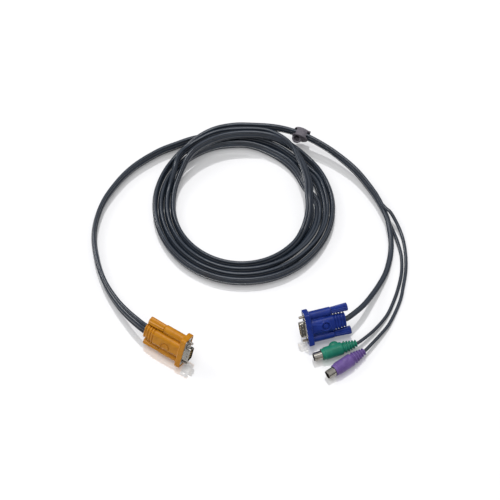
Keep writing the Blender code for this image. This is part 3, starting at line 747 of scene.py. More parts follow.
    def make(self, run: CordRun) -> bpy.types.Object:
        """Args:
            run: The cord.

        Returns:
            The curve.
        """
        line = self.cord_line(run)
        name = run.lane.name.lower() + "_cord"
        curve = bpy.data.curves.new(name, "CURVE")
        curve.dimensions = "3D"
        curve.bevel_depth = run.diameter / 2
        curve.bevel_resolution = 4
        curve.use_fill_caps = True
        spline = curve.splines.new("POLY")
        spline.points.add(len(line) - 1)
        for target, point in zip(spline.points, line):
            target.co = (*point, 1.0)
        curve.materials.append(Paints.get(Slot.JACKET))
        thing = bpy.data.objects.new(name, curve)
        bpy.context.scene.collection.objects.link(thing)
        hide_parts(*run.nodes)
        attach(thing, "cable")
        LOG.info("%s: %.3f m long, %.1f mm thick", name, length_of(line), run.diameter / MM)
        return thing


RUNS = (
    CordRun(
        Lane.VIDEO, 5.6 * MM,
        ((134.9, 14.2, 6.6), (136.8, 3.0, 5.4), (138.1, -8.0, 3.8), (138.1, -18.0, 3.0), (136.5, -30.0, 3.0),
         (132.4, -45.6, 3.6), (125.6, -60.4, 6.0), (118.0, -74.3, 9.6), (110.6, -86.4, 13.6), (102.6, -96.0, 16.6)),
        MONITOR, 40.0 * MM, ("video_cord_left", "video_cord_right", "cord_coil"),
    ),
    CordRun(
        Lane.KEYBOARD, 3.4 * MM,
        ((137.6, 20.4, 10.6), (144.4, 9.4, 6.0), (149.0, -1.8, 2.6), (151.4, -13.0, 1.8), (152.6, -27.2, 1.8),
         (152.2, -42.4, 1.8), (149.9, -57.3, 1.8), (146.8, -73.3, 1.8), (141.1, -88.8, 1.8), (134.5, -102.9, 2.6),
         (127.2, -113.6, 4.4), (118.9, -124.4, 5.9)),
        KEYBOARD, 35.86 * MM, ("keyboard_cord_left", "keyboard_cord_right"),
    ),
    CordRun(
        Lane.MOUSE, 3.4 * MM,
        ((136.2, 14.4, 1.8), (140.6, 3.4, 1.8), (144.2, -7.2, 1.8), (146.8, -17.2, 1.8), (148.3, -27.2, 1.8),
         (148.2, -42.4, 1.8), (145.5, -57.3, 1.8), (140.8, -73.4, 1.8), (133.1, -91.9, 2.4), (121.6, -108.2, 4.4),
         (112.0, -118.3, 5.9)),
        MOUSE, 35.86 * MM, ("mouse_cord_left", "mouse_cord_right"),
    ),
)


# D plugs


@dataclass
class DPlug:
    """A 15-contact D plug: moulded hood, nickel front, insulator, contacts and two thumbscrews.

    Attributes:
        name: The name that its CAD nodes start with.
        place: Where it stands.
        slot: Its plastic.
        width: Body width along the plate.
        thickness: Body thickness across the plate.
        tail: Tail width and thickness.
        length: Length behind the front face.
        ring: The face ring's length and width.
        ring_height: How far the ring stands off the body.
        ring_at: The ring's middle along X and Y.
        knob_length: Length of each thumbscrew knob.
    """

    name: str
    place: PlugPlace
    slot: Slot
    width: float
    thickness: float
    tail: tuple[float, float]
    length: float
    ring: tuple[float, float]
    ring_height: float
    ring_at: tuple[float, float]
    knob_length: float
    ramp: bool
    ring_wall: float = 1.4 * MM
    plate: tuple[float, float] = (30.8 * MM, 12.5 * MM)
    plate_thickness: float = 0.8 * MM
    rim_proud: float = 0.5 * MM
    flange_rim: float = 1.5 * MM
    flange_depth: float = 5.6 * MM
    screw_spacing: float = 25.0 * MM
    screw_d: float = 3.0 * MM
    sleeve_d: float = 8.0 * MM
    sleeve_end: float = 27.0 * MM
    web: tuple[float, float] = (4.4 * MM, 21.0 * MM)
    knob_d: float = 7.0 * MM
    knob_back_d: float = 8.0 * MM
    flutes: int = 14
    shell: tuple[float, float] = (16.9 * MM, 8.4 * MM)
    shell_slant: float = math.radians(10)
    shell_corner: float = 2.3 * MM
    shell_wall: float = 0.5 * MM
    shell_reach: float = 6.0 * MM
    contact_d: float = 0.76 * MM
    contact_length: float = 4.2 * MM
    insulator_face: float = 1.2 * MM
    gap: float = 0.3 * MM

    def make_hood(self) -> bpy.types.Object:
        """The moulded hood, melted from its flange, body, sleeves, webs, ribs and ring."""
        plate_wide, plate_high = self.plate
        rim = 2 * (self.gap + self.flange_rim)
        wide, high = plate_wide + rim, plate_high + rim
        flange = block(wide, high, 2.2 * MM, (
            (-self.flange_depth, wide - 1.2 * MM, high - 1.2 * MM),
            (-self.flange_depth + 0.6 * MM, wide, high),
            (-0.4 * MM, wide, high),
            (0.0, wide - 0.8 * MM, high - 0.8 * MM),
        ))
        parts = [flange, self._body(), self._webs()]
        for side in ScrewSide:
            sleeve = turned(((-self.sleeve_end, 0), (-self.sleeve_end, self.sleeve_d / 2 - 0.5 * MM),
                             (-self.sleeve_end + 0.5 * MM, self.sleeve_d / 2),
                             (-self.flange_depth + 1 * MM, self.sleeve_d / 2), (-self.flange_depth + 1 * MM, 0)), 40)
            parts.append(moved(sleeve, Matrix.Translation((0, side.value * self.screw_spacing / 2, 0))))
        parts += self._face_ring()
        if self.ramp:
            parts.append(self._ramp())
        hood = add_piece(self.name + "_moulded_hood", merged(parts), Matrix.Identity(4), self.slot)
        cut(hood, merged(self._hood_cuts()), Matrix.Identity(4))
        mould(hood, 0.26 * MM, 5)
        hood.data.transform(self.place.matrix())
        return self._finish(hood, "cable", "hood")

    def _hood_cuts(self) -> list[bmesh.types.BMesh]:
        """The plate's pocket and the two screw bores."""
        pocket_wide, pocket_high = (size + 2 * self.gap for size in self.plate)
        floor = -self.rim_proud - self.plate_thickness - self.gap
        pocket = block(pocket_wide, pocket_high, 1.6 * MM,
                       ((floor, pocket_wide, pocket_high), (1 * MM, pocket_wide, pocket_high)))
        cuts = [pocket, self._ring_groove()]
        bore = self.screw_d / 2 + 0.6 * MM
        for side in ScrewSide:
            hole = turned(((-self.sleeve_end - 2 * MM, 0), (-self.sleeve_end - 2 * MM, bore), (1 * MM, bore),
                           (1 * MM, 0)), 32)
            cuts.append(moved(hole, Matrix.Translation((0, side.value * self.screw_spacing / 2, 0))))
        return cuts

    def _body(self) -> bmesh.types.BMesh:
        """The hood's body with its ribbed tail, from the back forwards."""
        ribs_front = self.length - 1.6 * MM - 4 * 2.9 * MM

        def section(x: float, grow: float = 0.0) -> tuple[float, float, float]:
            """The body's width and height at x."""
            share = max(0.0, (-x - ribs_front) / (self.length - ribs_front))
            wide = self.width + (self.tail[0] - self.width) * share ** 1.8 + grow
            high = self.thickness + (self.tail[1] - self.thickness) * share ** 1.3 + grow
            return x, wide, high

        edge = 0.4 * MM
        stations = [section(-self.length, -2 * edge), section(-self.length + edge),
                    section(-self.length + 1.6 * MM - edge / 2)]
        x = -self.length + 1.6 * MM
        for _ in range(4):
            stations += [section(x + 0.05 * MM, -1.9 * MM), section(x + 1.05 * MM, -1.9 * MM),
                         section(x + 1.2 * MM, -0.2 * MM), section(x + 1.45 * MM), section(x + 2.65 * MM),
                         section(x + 2.9 * MM, -0.2 * MM)]
            x += 2.9 * MM
        stations.pop()
        stations.append(section(-self.flange_depth + 1.2 * MM))
        return block(self.width, self.thickness, 4.2 * MM, stations)

    def _webs(self) -> bmesh.types.BMesh:
        """The thin wall that joins the sleeves to the body."""
        thick, end = self.web
        return block(self.screw_spacing, thick, 0.9 * MM, (
            (-end, self.screw_spacing - 2 * MM, thick - 0.8 * MM),
            (-end + 0.8 * MM, self.screw_spacing, thick),
            (-self.flange_depth + 0.9 * MM, self.screw_spacing, thick),
        ))

    def _face_ring(self) -> list[bmesh.types.BMesh]:
        """The bare oval ring on the face, with its floor a little raised."""
        top = self.thickness / 2 + self.ring_height
        root = self.thickness / 4
        wall = self.ring_wall
        soft = 0.3 * MM
        radius = self.ring[0] / 2
        groove = self.thickness / 2 - 0.9 * MM
        profile = ((root, radius), (top - soft, radius), (top, radius - soft), (top, radius - wall + soft),
                   (top - soft, radius - wall), (groove, radius - wall - 0.2 * MM),
                   (groove, radius - wall - 1.0 * MM), (top - 0.5 * MM, radius - wall - 1.4 * MM),
                   (top - 0.3 * MM, 0), (root, 0), (root, radius))
        disc = turned(profile, 64)
        return [moved(disc, self._ring_stand())]

    def _ring_groove(self) -> bmesh.types.BMesh:
        """The groove inside the face ring, which runs down into the body."""
        outer = self.ring[0] / 2 - self.ring_wall
        inner = outer - 1.1 * MM
        low, high = self.thickness / 2 - 0.9 * MM, self.thickness / 2 + self.ring_height + 1 * MM
        tube = turned(((low, inner), (low, outer), (high, outer), (high, inner), (low, inner)), 64)
        return moved(tube, self._ring_stand())

    def _ring_stand(self) -> Matrix:
        """Turns a form made round X to stand on the face where the ring is, squeezed to its oval."""
        place = Matrix.Translation((self.ring_at[0], self.ring_at[1], 0))
        squeeze = Matrix.Diagonal((1, self.ring[1] / self.ring[0], 1, 1))
        return place @ squeeze @ Matrix.Rotation(math.radians(-90), 4, "Y")

    def _ramp(self) -> bmesh.types.BMesh:
        """The raised wedge on the face between the flange and the ring."""
        top = self.thickness / 2 + self.ring_height * 0.9
        ramp = bmesh.new()
        back, front = self.ring_at[0] + self.ring[0] / 2 - 0.6 * MM, -self.flange_depth + 1 * MM
        corners = [(back, -3.0 * MM), (front, -6.0 * MM), (front, 6.0 * MM), (back, 3.0 * MM)]
        face = ramp.faces.new([ramp.verts.new((x, y, self.thickness / 4)) for x, y in corners])
        grown = bmesh.ops.extrude_face_region(ramp, geom=[face])
        lid = [g for g in grown["geom"] if isinstance(g, bmesh.types.BMVert)]
        bmesh.ops.translate(ramp, vec=(0, 0, top - self.thickness / 4), verts=lid)
        bmesh.ops.scale(ramp, vec=(1, 0.86, 1), verts=lid)
        return ramp

    def _finish(self, piece: bpy.types.Object, body: str, *nodes: str) -> bpy.types.Object:
        """Rides a piece on a body and lets it stand for this plug's nodes of those names."""
        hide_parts(*(f"{self.name}_{node}" for node in nodes))
        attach(piece, body)
        LOG.info("%s: %d faces", piece.name, len(piece.data.polygons))
        return piece

    def _d_corners(self, inset: float) -> list[tuple[float, float]]:
        """Corners of the D shape, wide at the top, drawn in by inset."""
        half = self.shell[1] / 2 - inset
        slope = math.tan(self.shell_slant)
        top = self.shell[0] / 2 - inset * (slope + 1 / math.cos(self.shell_slant))
        foot = top - 2 * half * slope
        return [(-foot, -half), (foot, -half), (top, half), (-top, half)]

    def _d_prism(self, inset: float, x0: float, x1: float, edge: float = 0.0) -> bmesh.types.BMesh:
        """A D-shaped prism from x0 to x1, with a small round at its front edge."""
        solid = bmesh.new()
        face = bevelled(self._d_corners(inset), self.shell_corner - inset, 8, x0, solid)
        wide, high = self.shell[0] - 2 * inset, self.shell[1] - 2 * inset
        stations = [(x1 - edge, wide, high)]
        if edge:
            stations.append((x1, wide - 2 * edge, high - 2 * edge))
        march(solid, face, (wide, high), stations)
        return solid

    def make_front(self) -> bpy.types.Object:
        """The nickel plate with its drawn D shell, screw holes and friction dimples."""
        face = -self.rim_proud
        back = face - self.plate_thickness
        wide, high = self.plate
        edge = 0.2 * MM
        plate = block(wide, high, 1.6 * MM, ((back, wide, high), (face - edge, wide, high),
                                             (face, wide - 2 * edge, high - 2 * edge)))
        tip = face + self.shell_reach
        skin = self._d_prism(0.0, back + 0.1 * MM, tip, 0.15 * MM)
        fillet = self._d_prism(-0.5 * MM, back + 0.1 * MM, face + 0.5 * MM, 0.5 * MM)
        front = add_piece(self.name + "_nickel_front", merged([plate, skin, fillet]), Matrix.Identity(4), Slot.NICKEL)
        cuts = [self._d_prism(self.shell_wall, back - 1 * MM, tip + 1 * MM)]
        for side in ScrewSide:
            radius = self.screw_d / 2 + 0.6 * MM
            hole = turned(((back - 1 * MM, 0), (back - 1 * MM, radius), (face + 1 * MM, radius), (face + 1 * MM, 0)), 32)
            cuts.append(moved(hole, Matrix.Translation((0, side.value * self.screw_spacing / 2, 0))))
        for y in (-5.4, -1.8, 1.8, 5.4):
            cuts.append(self._dimple(y * MM, self.shell[1] / 2, tip - 2.4 * MM))
        for y in (-3.2, 3.2):
            cuts.append(self._dimple(y * MM, -self.shell[1] / 2, tip - 2.4 * MM))
        cut(front, merged(cuts), Matrix.Identity(4))
        front.data.transform(self.place.matrix())
        front.data.shade_smooth()
        front.data.set_sharp_from_angle(angle=math.radians(35))
        return self._finish(front, "cable", "shell")

    def _dimple(self, y: float, z: float, x: float) -> bmesh.types.BMesh:
        """A shallow round dent that the shell grips its socket with."""
        ball = bmesh.new()
        bmesh.ops.create_uvsphere(ball, u_segments=16, v_segments=8, radius=0.75 * MM)
        squash = Matrix.Diagonal((1, 1, 0.45, 1))
        return moved(ball, Matrix.Translation((x, y, z)) @ squash)

    def make_insulator(self) -> bpy.types.Object:
        """The black insulator that holds the contacts, with a countersink round each."""
        back = -self.rim_proud - self.plate_thickness
        front = -self.rim_proud + self.insulator_face
        body = self._d_prism(self.shell_wall + self.gap, back, front, 0.2 * MM)
        piece = add_piece(self.name + "_contact_block", body, Matrix.Identity(4), Slot.INSULATOR)
        dents = []
        for y, z in self._contact_places():
            dent = turned(((front - 0.35 * MM, 0), (front - 0.35 * MM, 0.5 * MM), (front + 0.3 * MM, 0.9 * MM),
                           (front + 0.3 * MM, 0)), 16)
            dents.append(moved(dent, Matrix.Translation((0, y, z))))
        cut(piece, merged(dents), Matrix.Identity(4))
        piece.data.transform(self.place.matrix())
        return self._finish(piece, "cable", "insulator")

    def _contact_places(self) -> list[tuple[float, float]]:
        """The fifteen contact places, row by row, as (y, z)."""
        places = []
        for row in range(3):
            shift = 2.29 * MM / 4 * (1 if row % 2 == 0 else -1)
            places += [((k - 2) * 2.29 * MM + shift, (1 - row) * 1.98 * MM) for k in range(5)]
        return places

    def make_contacts(self, nodes: Sequence[str]) -> bpy.types.Object:
        """The fifteen gilt contacts with rounded tips."""
        start = -self.rim_proud + self.insulator_face - 0.6 * MM
        radius = self.contact_d / 2
        end = start + 0.6 * MM + self.contact_length
        tip = [(end - radius * (1 - math.sin(a)), radius * math.cos(a))
               for a in (math.radians(d) for d in range(0, 90, 18))]
        profile = [(start, 0), (start, radius), *tip, (end, 0)]
        parts = [moved(turned(profile, 16), Matrix.Translation((0, y, z))) for y, z in self._contact_places()]
        piece = add_piece(self.name + "_contacts", merged(parts), self.place.matrix(), Slot.CONTACT)
        return self._finish(piece, "cable", *nodes)

    def make_thumbscrew(self, side: ScrewSide) -> None:
        """One thumbscrew: the fluted knob and its threaded steel screw, on the body that turns.

        Args:
            side: Which of the two.
        """
        label = side.name.lower()
        body = f"{self.name}_thumbscrew_{label}"
        place = self.place.matrix() @ Matrix.Translation((0, side.value * self.screw_spacing / 2, 0))
        front = -self.sleeve_end - self.gap
        back = front - self.knob_length
        knob = bmesh.new()
        section = bmesh.ops.create_circle(knob, cap_ends=True, radius=self.knob_d / 2, segments=self.flutes * 6)
        stand = Matrix.Translation((back, 0, 0)) @ Matrix.Rotation(math.radians(90), 4, "Y")
        bmesh.ops.transform(knob, matrix=stand, verts=knob.verts)
        depth = 0.55 * MM
        for vert in section["verts"]:
            angle = math.atan2(vert.co.z, vert.co.y) * self.flutes
            radius = self.knob_d / 2 - depth * (0.5 - 0.5 * math.cos(angle)) ** 0.7
            spoke = Vector((0, vert.co.y, vert.co.z)).normalized() * radius
            vert.co = (vert.co.x, spoke.y, spoke.z)
        d, wide = self.knob_d, self.knob_back_d
        bmesh.ops.scale(knob, vec=(1, wide * 0.88 / d, wide * 0.88 / d), verts=knob.verts)
        face = next(iter(knob.faces))
        march(knob, face, (wide * 0.88, wide * 0.88), (
            (back + 0.2 * MM, wide * 0.95, wide * 0.95), (back + 0.6 * MM, wide, wide),
            (back + 2.4 * MM, wide, wide), (front - 2.0 * MM, d, d), (front - 0.3 * MM, d, d),
            (front, d * 0.95, d * 0.95),
        ))
        piece = add_piece(f"{self.name}_grip_knob_{label}", knob, Matrix.Identity(4), self.slot, 25)
        notch = block(d * 1.2, 1.1 * MM, 0.2 * MM,
                      ((back - 1 * MM, d * 1.2, 1.1 * MM), (back + 1.1 * MM, d * 1.2, 1.1 * MM)), 2)
        cut(piece, notch, Matrix.Identity(4))
        piece.data.transform(place)
        piece.data.shade_smooth()
        piece.data.set_sharp_from_angle(angle=math.radians(25))
        self._finish(piece, body, "knob_" + label)

        core, crest = self.screw_d / 2 - 0.3 * MM, self.screw_d / 2
        profile = [(front - 5 * MM, 0), (front - 5 * MM, core), (-2 * MM, core)]
        x = -2 * MM
        while x < 3.9 * MM:
            profile += [(x + 0.05 * MM, core), (x + 0.3 * MM, crest), (x + 0.4 * MM, crest), (x + 0.65 * MM, core)]
            x += 0.7 * MM
        profile += [(4.5 * MM, core), (4.8 * MM, core - 0.3 * MM), (4.8 * MM, 0)]
        screw = add_piece(f"{self.name}_threaded_screw_{label}", turned(profile, 32), place, Slot.STEEL)
        self._finish(screw, body, "screw_" + label)

    def make(self, contact_nodes: Sequence[str]) -> None:
        """Makes the whole plug.

        Args:
            contact_nodes: The nodes that the contacts stand for, without the plug's name.
        """
        self.make_hood()
        self.make_front()
        self.make_insulator()
        self.make_contacts(contact_nodes)
        for side in ScrewSide:
            self.make_thumbscrew(side)


# Round plugs


@dataclass
class RoundPlug:
    """A six-pin round plug: nickel shell, insulator with its key, contacts and a moulded grip.

    Attributes:
        name: The name that its CAD nodes start with.
        place: Where it lies.
        slot: Its plastic.
        pad: How far the thumb pad stands off the grip.
    """

    name: str
    place: PlugPlace
    slot: Slot
    pad: float
    shell_d: float = 9.0 * MM
    shell_wall: float = 0.5 * MM
    shell_reach: float = 8.2 * MM
    shell_root: float = 2.4 * MM
    keyways: tuple[int, ...] = (90, 210, 330)
    floor: float = 2.0 * MM
    collar: tuple[float, float] = (11.6 * MM, 3.0 * MM)
    body: tuple[float, float] = (13.0 * MM, 19.0 * MM)
    ribs: int = 5
    rib_pitch: float = 2.8 * MM
    rib_front_d: float = 12.0 * MM
    rib_back_d: float = 7.4 * MM
    pad_at: float = 11.0 * MM
    pin_circle: float = 2.7 * MM
    pin_angles: tuple[int, ...] = (50, 100, 150, 210, 260, 310)
    pin_d: float = 0.9 * MM

    def make_grip(self) -> bpy.types.Object:
        """The moulded grip, with its collar, ribs, thumb pad and the shell's pocket."""
        collar_r, collar_end = self.collar[0] / 2, -self.collar[1]
        body_r, back = self.body[0] / 2, -self.collar[1] - self.body[1]
        edge = 0.5 * MM
        profile = [(-0.3 * MM, 0), (0, 0.5 * MM), (0, collar_r - 0.3 * MM), (-0.3 * MM, collar_r), (collar_end, collar_r),
                   (collar_end, body_r - edge), (collar_end - edge, body_r), (back + 2.6 * MM, body_r),
                   (back + 1.4 * MM, body_r - 0.15 * MM), (back + 0.8 * MM, body_r - 0.6 * MM)]
        for k in range(self.ribs):
            share = k / (self.ribs - 1)
            radius = (self.rib_front_d + (self.rib_back_d - self.rib_front_d) * share) / 2
            start = back - k * self.rib_pitch
            for along, drop in ((0.0, 1.1), (0.44, 1.1), (0.52, 0.2), (0.6, 0.0), (0.92, 0.0), (0.98, 0.2)):
                profile.append((start - along * self.rib_pitch, radius - drop * MM))
        profile.append((profile[-1][0], 0))
        grip = add_piece(self.name + "_moulded_grip", turned(profile, 56), Matrix.Identity(4), self.slot)
        dome = bmesh.new()
        bmesh.ops.create_uvsphere(dome, u_segments=32, v_segments=16, radius=1.0)
        reach = body_r + self.pad
        size = Matrix.Diagonal((5.25 * MM, 3.8 * MM, reach / 2, 1))
        moved(dome, Matrix.Translation((collar_end - self.pad_at, 0, reach / 2)) @ size)
        cut(grip, dome, Matrix.Identity(4), "UNION")
        radius = self.shell_d / 2 + 0.3 * MM
        floor = -self.shell_root - 0.3 * MM
        pocket = turned(((floor, 0), (floor, radius), (1 * MM, radius), (1 * MM, 0)), 56)
        cut(grip, pocket, Matrix.Identity(4))
        mould(grip, 0.2 * MM, 4)
        grip.data.transform(self.place.matrix())
        return self._finish(grip, "grip")

    def _keyed(self, diameter: float, x: float, solid: bmesh.types.BMesh) -> bmesh.types.BMFace:
        """A round face with three keying grooves, across X."""
        ring = bmesh.ops.create_circle(solid, cap_ends=True, radius=diameter / 2, segments=72)
        stand = Matrix.Translation((x, 0, 0)) @ Matrix.Rotation(math.radians(90), 4, "Y")
        bmesh.ops.transform(solid, matrix=stand, verts=ring["verts"])
        for vert in ring["verts"]:
            angle = math.degrees(math.atan2(vert.co.z, vert.co.y)) % 360
            if any(abs(angle - at) <= 14 for at in self.keyways):
                vert.co.y *= 1 - 1.2 * MM / diameter
                vert.co.z *= 1 - 1.2 * MM / diameter
        return ring["verts"][0].link_faces[0]

    def _keyed_prism(self, diameter: float, x0: float, x1: float, edge: float = 0.0) -> bmesh.types.BMesh:
        """A keyed prism from x0 to x1."""
        solid = bmesh.new()
        face = self._keyed(diameter, x0, solid)
        stations = [(x1 - edge, diameter, diameter)]
        if edge:
            stations.append((x1, diameter - 2 * edge, diameter - 2 * edge))
        march(solid, face, (diameter, diameter), stations)
        return solid

    def make_shell(self) -> bpy.types.Object:
        """The rolled nickel shell."""
        skin = self._keyed_prism(self.shell_d, -self.shell_root, self.shell_reach, 0.15 * MM)
        shell = add_piece(self.name + "_nickel_shell", skin, Matrix.Identity(4), Slot.NICKEL)
        bore = self._keyed_prism(self.shell_d - 2 * self.shell_wall, -self.shell_root - 1 * MM,
                                 self.shell_reach + 1 * MM)
        cut(shell, bore, Matrix.Identity(4))
        shell.data.transform(self.place.matrix())
        shell.data.shade_smooth()
        shell.data.set_sharp_from_angle(angle=math.radians(30))
        return self._finish(shell, "shell")

    def make_insulator(self) -> bpy.types.Object:
        """The insulator with its key."""
        core_d = self.shell_d - 2 * self.shell_wall - 0.6 * MM
        core = self._keyed_prism(core_d, -self.shell_root, self.floor, 0.2 * MM)
        key = block(2.6 * MM, 1.3 * MM, 0.25 * MM, (
            (self.floor - 0.6 * MM, 2.6 * MM, 1.3 * MM), (self.floor + 4.6 * MM, 2.6 * MM, 1.3 * MM),
            (self.floor + 4.8 * MM, 2.2 * MM, 0.9 * MM)), 3)
        piece = add_piece(self.name + "_contact_block", core, Matrix.Identity(4), Slot.INSULATOR)
        cut(piece, key, Matrix.Identity(4), "UNION")
        piece.data.transform(self.place.matrix())
        return self._finish(piece, "insulator")

    def make_pins(self) -> bpy.types.Object:
        """The six contacts with rounded tips."""
        start, radius = self.floor - 0.3 * MM, self.pin_d / 2
        end = self.floor + 4.5 * MM
        tip = [(end - radius * (1 - math.sin(a)), radius * math.cos(a))
               for a in (math.radians(d) for d in range(0, 90, 18))]
        profile = [(start, 0), (start, radius), *tip, (end, 0)]
        parts = []
        for angle in self.pin_angles:
            spoke = math.radians(angle + 90)
            y, z = self.pin_circle * math.cos(spoke), self.pin_circle * math.sin(spoke)
            parts.append(moved(turned(profile, 16), Matrix.Translation((0, y, z))))
        piece = add_piece(self.name + "_contacts", merged(parts), self.place.matrix(), Slot.NICKEL)
        return self._finish(piece, *(f"pin_{k}" for k in range(1, 7)))

    def _finish(self, piece: bpy.types.Object, *nodes: str) -> bpy.types.Object:
        """Rides a piece on the cable and lets it stand for this plug's nodes of those names."""
        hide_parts(*(f"{self.name}_{node}" for node in nodes))
        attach(piece, "cable")
        LOG.info("%s: %d faces", piece.name, len(piece.data.polygons))
        return piece

    def make(self) -> None:
        """Makes the whole plug."""
        self.make_grip()
        self.make_shell()
        self.make_insulator()
        self.make_pins()


# Clip


@dataclass
class CordClip:
    """The cord clip: a grained drum across the trunk, with a slot, a tilted nose with a blind hole and two latch tabs."""

    place: PlugPlace = CLIP
    drum_d: float = 16.4 * MM
    drum_length: float = 8.8 * MM
    nose_d: float = 9.6 * MM
    nose_length: float = 6.0 * MM
    nose_face: Point = (5.8 * MM, -2.8 * MM, 0.2 * MM)
    nose_way: Point = (0.58, -0.15, 0.80)
    bore_d: float = 5.9 * MM
    bore_depth: float = 4.8 * MM
    slot: tuple[float, float] = (6.0 * MM, 12.0 * MM)
    tab: tuple[float, float, float] = (2.6 * MM, 3.0 * MM, 2.4 * MM)
    tab_heights: tuple[float, float] = (4.6 * MM, -5.4 * MM)

    def make(self) -> bpy.types.Object:
        """Makes the clip."""
        half, radius = self.drum_length / 2, self.drum_d / 2
        edge = 0.6 * MM
        drum = turned(((-half, 0), (-half, radius - edge), (-half + edge, radius), (half - edge, radius),
                       (half, radius - edge), (half, 0)), 56)
        clip = add_piece("grained_clip", drum, Matrix.Identity(4), Slot.CLIP)
        depth, reach, height = self.tab
        for at in self.tab_heights:
            rim = math.sqrt(radius ** 2 - at ** 2)
            tab = block(reach, height, 0.6 * MM, ((-half, reach, height), (-half + depth, reach, height)), 3)
            cut(clip, moved(tab, Matrix.Translation((0, rim, at))), Matrix.Identity(4), "UNION")
        self._add_nose(clip)
        slot_wide, slot_high = self.slot
        gate = block(self.drum_d * 1.5, slot_high, 0.3 * MM, (
            (-slot_wide / 2, self.drum_d * 1.5, slot_high), (slot_wide / 2, self.drum_d * 1.5, slot_high)), 2)
        cut(clip, gate, Matrix.Identity(4))
        mould(clip, 0.2 * MM, 3)
        clip.data.transform(self.place.matrix())
        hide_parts("cord_clip")
        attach(clip, "cable")
        return clip

    def _add_nose(self, clip: bpy.types.Object) -> None:
        """Adds the round nose, clears the drum in front of its face and sinks its blind hole.

        Args:
            clip: The drum.
        """
        way = Vector(self.nose_way).normalized()
        stand = Matrix.Translation(self.nose_face) @ Vector((1, 0, 0)).rotation_difference(way).to_matrix().to_4x4()
        radius, bore, edge = self.nose_d / 2, self.bore_d / 2, 0.5 * MM
        nose = turned(((-self.nose_length, 0), (-self.nose_length, radius), (-edge, radius), (0, radius - edge),
                       (0, 0)), 48)
        cut(clip, moved(nose, stand), Matrix.Identity(4), "UNION")
        ahead = self.drum_d
        clear = turned(((0, 0), (0, radius - edge), (ahead, radius - edge), (ahead, 0)), 48)
        hole = turned(((-self.bore_depth, 0), (-self.bore_depth, bore - 0.4 * MM), (-0.4 * MM, bore), (edge, bore + edge),
                       (edge, 0)), 40)
        cut(clip, merged([clear, hole]), stand)


# Stage


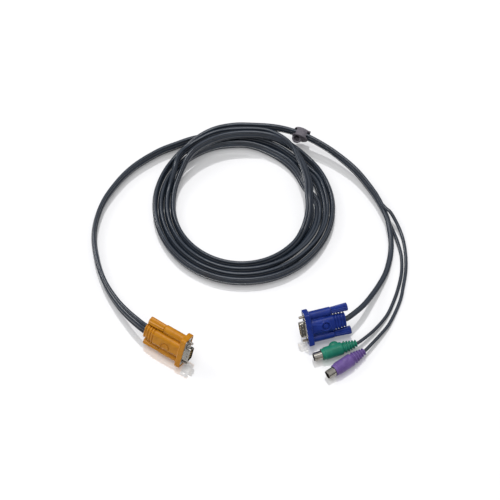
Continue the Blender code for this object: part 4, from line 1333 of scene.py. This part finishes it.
@dataclass
class Stage:
    """The floor, lamps, world and camera."""

    middle: Point = (-0.004258, 0.00871, 0.0)
    view_width: float = 0.4902
    elevation: float = 60.0
    distance: float = 5.0
    floor_size: float = 6.0
    floor_lift: float = 0.26
    floor_gloss: float = 0.42

    def make_camera(self) -> None:
        """A camera at the photograph's angle, with its frame's width on the table."""
        camera = bpy.data.cameras.new("camera")
        camera.sensor_width = 36.0
        camera.lens = camera.sensor_width * self.distance / self.view_width
        camera.clip_end = 50.0
        thing = bpy.data.objects.new("camera", camera)
        bpy.context.scene.collection.objects.link(thing)
        tilt = math.radians(self.elevation)
        away = Vector((0, -math.cos(tilt), math.sin(tilt))) * self.distance
        thing.location = Vector(self.middle) + away
        thing.rotation_euler = (math.radians(90) - tilt, 0, 0)
        bpy.context.scene.camera = thing
        bpy.context.scene.view_settings.view_transform = "Standard"

    def make_floor(self) -> None:
        """A pale glossy table top that keeps shadows and soft reflections."""
        solid = bmesh.new()
        bmesh.ops.create_grid(solid, x_segments=8, y_segments=8, size=self.floor_size / 2)
        mesh = bpy.data.meshes.new("floor")
        solid.to_mesh(mesh)
        solid.free()
        floor = bpy.data.objects.new("floor", mesh)
        bpy.context.scene.collection.objects.link(floor)
        finish = bpy.data.materials.new("pale_floor")
        finish.use_nodes = True
        nodes, links = finish.node_tree.nodes, finish.node_tree.links
        shader = nodes["Principled BSDF"]
        shader.inputs["Base Color"].default_value = (0.82, 0.82, 0.82, 1.0)
        shader.inputs["Roughness"].default_value = 0.6
        shader.inputs["Specular IOR Level"].default_value = 0.0
        path = nodes.new("ShaderNodeLightPath")
        seen = path.outputs["Is Camera Ray"]
        for ray in ("Is Glossy Ray", "Is Transmission Ray"):
            either = nodes.new("ShaderNodeMath")
            either.operation = "MAXIMUM"
            links.new(seen, either.inputs[0])
            links.new(path.outputs[ray], either.inputs[1])
            seen = either.outputs["Value"]
        lift = nodes.new("ShaderNodeMath")
        lift.operation = "MULTIPLY"
        lift.inputs[1].default_value = self.floor_lift
        links.new(seen, lift.inputs[0])
        shader.inputs["Emission Color"].default_value = (1.0, 1.0, 1.0, 1.0)
        links.new(lift.outputs["Value"], shader.inputs["Emission Strength"])
        mirror = nodes.new("ShaderNodeBsdfGlossy")
        mirror.inputs["Color"].default_value = (1.0, 1.0, 1.0, 1.0)
        mirror.inputs["Roughness"].default_value = 0.06
        blend = nodes.new("ShaderNodeMixShader")
        blend.inputs["Fac"].default_value = self.floor_gloss
        links.new(shader.outputs["BSDF"], blend.inputs[1])
        links.new(mirror.outputs["BSDF"], blend.inputs[2])
        links.new(blend.outputs["Shader"], nodes["Material Output"].inputs["Surface"])
        floor.data.materials.append(finish)

    def make_lamp(self, name: str, place: Point, size: float, power: float) -> None:
        """A square soft lamp that looks at the middle of the cable.

        Args:
            name: Its name.
            place: Where it hangs.
            size: Its side.
            power: Its power in watts.
        """
        lamp = bpy.data.lights.new(name, "AREA")
        lamp.size = size
        lamp.energy = power
        thing = bpy.data.objects.new(name, lamp)
        bpy.context.scene.collection.objects.link(thing)
        thing.location = place
        aim = Vector(self.middle) - Vector(place)
        thing.rotation_euler = aim.to_track_quat("-Z", "Y").to_euler()

    def make_world(self) -> None:
        """A soft grey studio, paler overhead than at the sides."""
        world = bpy.data.worlds.new("studio")
        world.use_nodes = True
        nodes, links = world.node_tree.nodes, world.node_tree.links
        place = nodes.new("ShaderNodeTexCoord").outputs["Generated"]
        split = nodes.new("ShaderNodeSeparateXYZ")
        ramp = nodes.new("ShaderNodeValToRGB")
        ramp.color_ramp.elements[0].position = 0.05
        ramp.color_ramp.elements[0].color = (0.055, 0.055, 0.060, 1.0)
        ramp.color_ramp.elements[1].position = 0.80
        ramp.color_ramp.elements[1].color = (0.86, 0.86, 0.88, 1.0)
        links.new(place, split.inputs["Vector"])
        links.new(split.outputs["Z"], ramp.inputs["Fac"])
        links.new(ramp.outputs["Color"], nodes["Background"].inputs["Color"])
        bpy.context.scene.world = world

    def make(self) -> None:
        """Makes the whole stage."""
        self.make_camera()
        self.make_floor()
        self.make_world()
        self.make_lamp("top", (-0.2, 0.1, 2.2), 1.0, 17.0)
        self.make_lamp("key", (-1.4, 0.9, 1.5), 0.7, 10.0)


def dress_frame(nodes: dict[str, bpy.types.Object]) -> None:
    """Gives every CAD node the procedural finish of its slot.

    Args:
        nodes: The frame's nodes by name.
    """
    known = {slot.value: slot for slot in Slot}
    for thing in nodes.values():
        for place in thing.material_slots:
            name = place.material.name.split(".")[0] if place.material else ""
            if name in known:
                place.material = Paints.get(known[name])


def main() -> None:
    """Builds the cable's looks round its frame, camera and cords first."""
    logging.basicConfig(level=logging.INFO, format="%(message)s")
    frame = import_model()
    dress_frame(frame["nodes"])
    Stage().make()
    trunk = Trunk()
    for run in RUNS:
        trunk.make(run)
    CordClip().make()
    DPlug("console", CONSOLE, Slot.ORANGE, 16.4 * MM, 13.6 * MM, (15.6 * MM, 10.4 * MM), 46.0 * MM,
          (13.0 * MM, 14.2 * MM), 1.8 * MM, (-20.0 * MM, -4.2 * MM), 17.4 * MM, False, sleeve_d=9.0 * MM,
          knob_d=7.8 * MM, knob_back_d=8.4 * MM, flutes=10).make(())
    DPlug("monitor", MONITOR, Slot.BLUE, 16.2 * MM, 11.4 * MM, (14.6 * MM, 9.4 * MM), 40.0 * MM,
          (10.4 * MM, 10.4 * MM), 0.9 * MM, (-19.5 * MM, 0.0), 16.6 * MM, True
          ).make([f"pin_{k:02d}" for k in range(1, 16)])
    RoundPlug("mouse", MOUSE, Slot.GREEN, 2.6 * MM).make()
    RoundPlug("keyboard", KEYBOARD, Slot.PURPLE, 0.85 * MM).make()


if __name__ == "__main__":
    main()
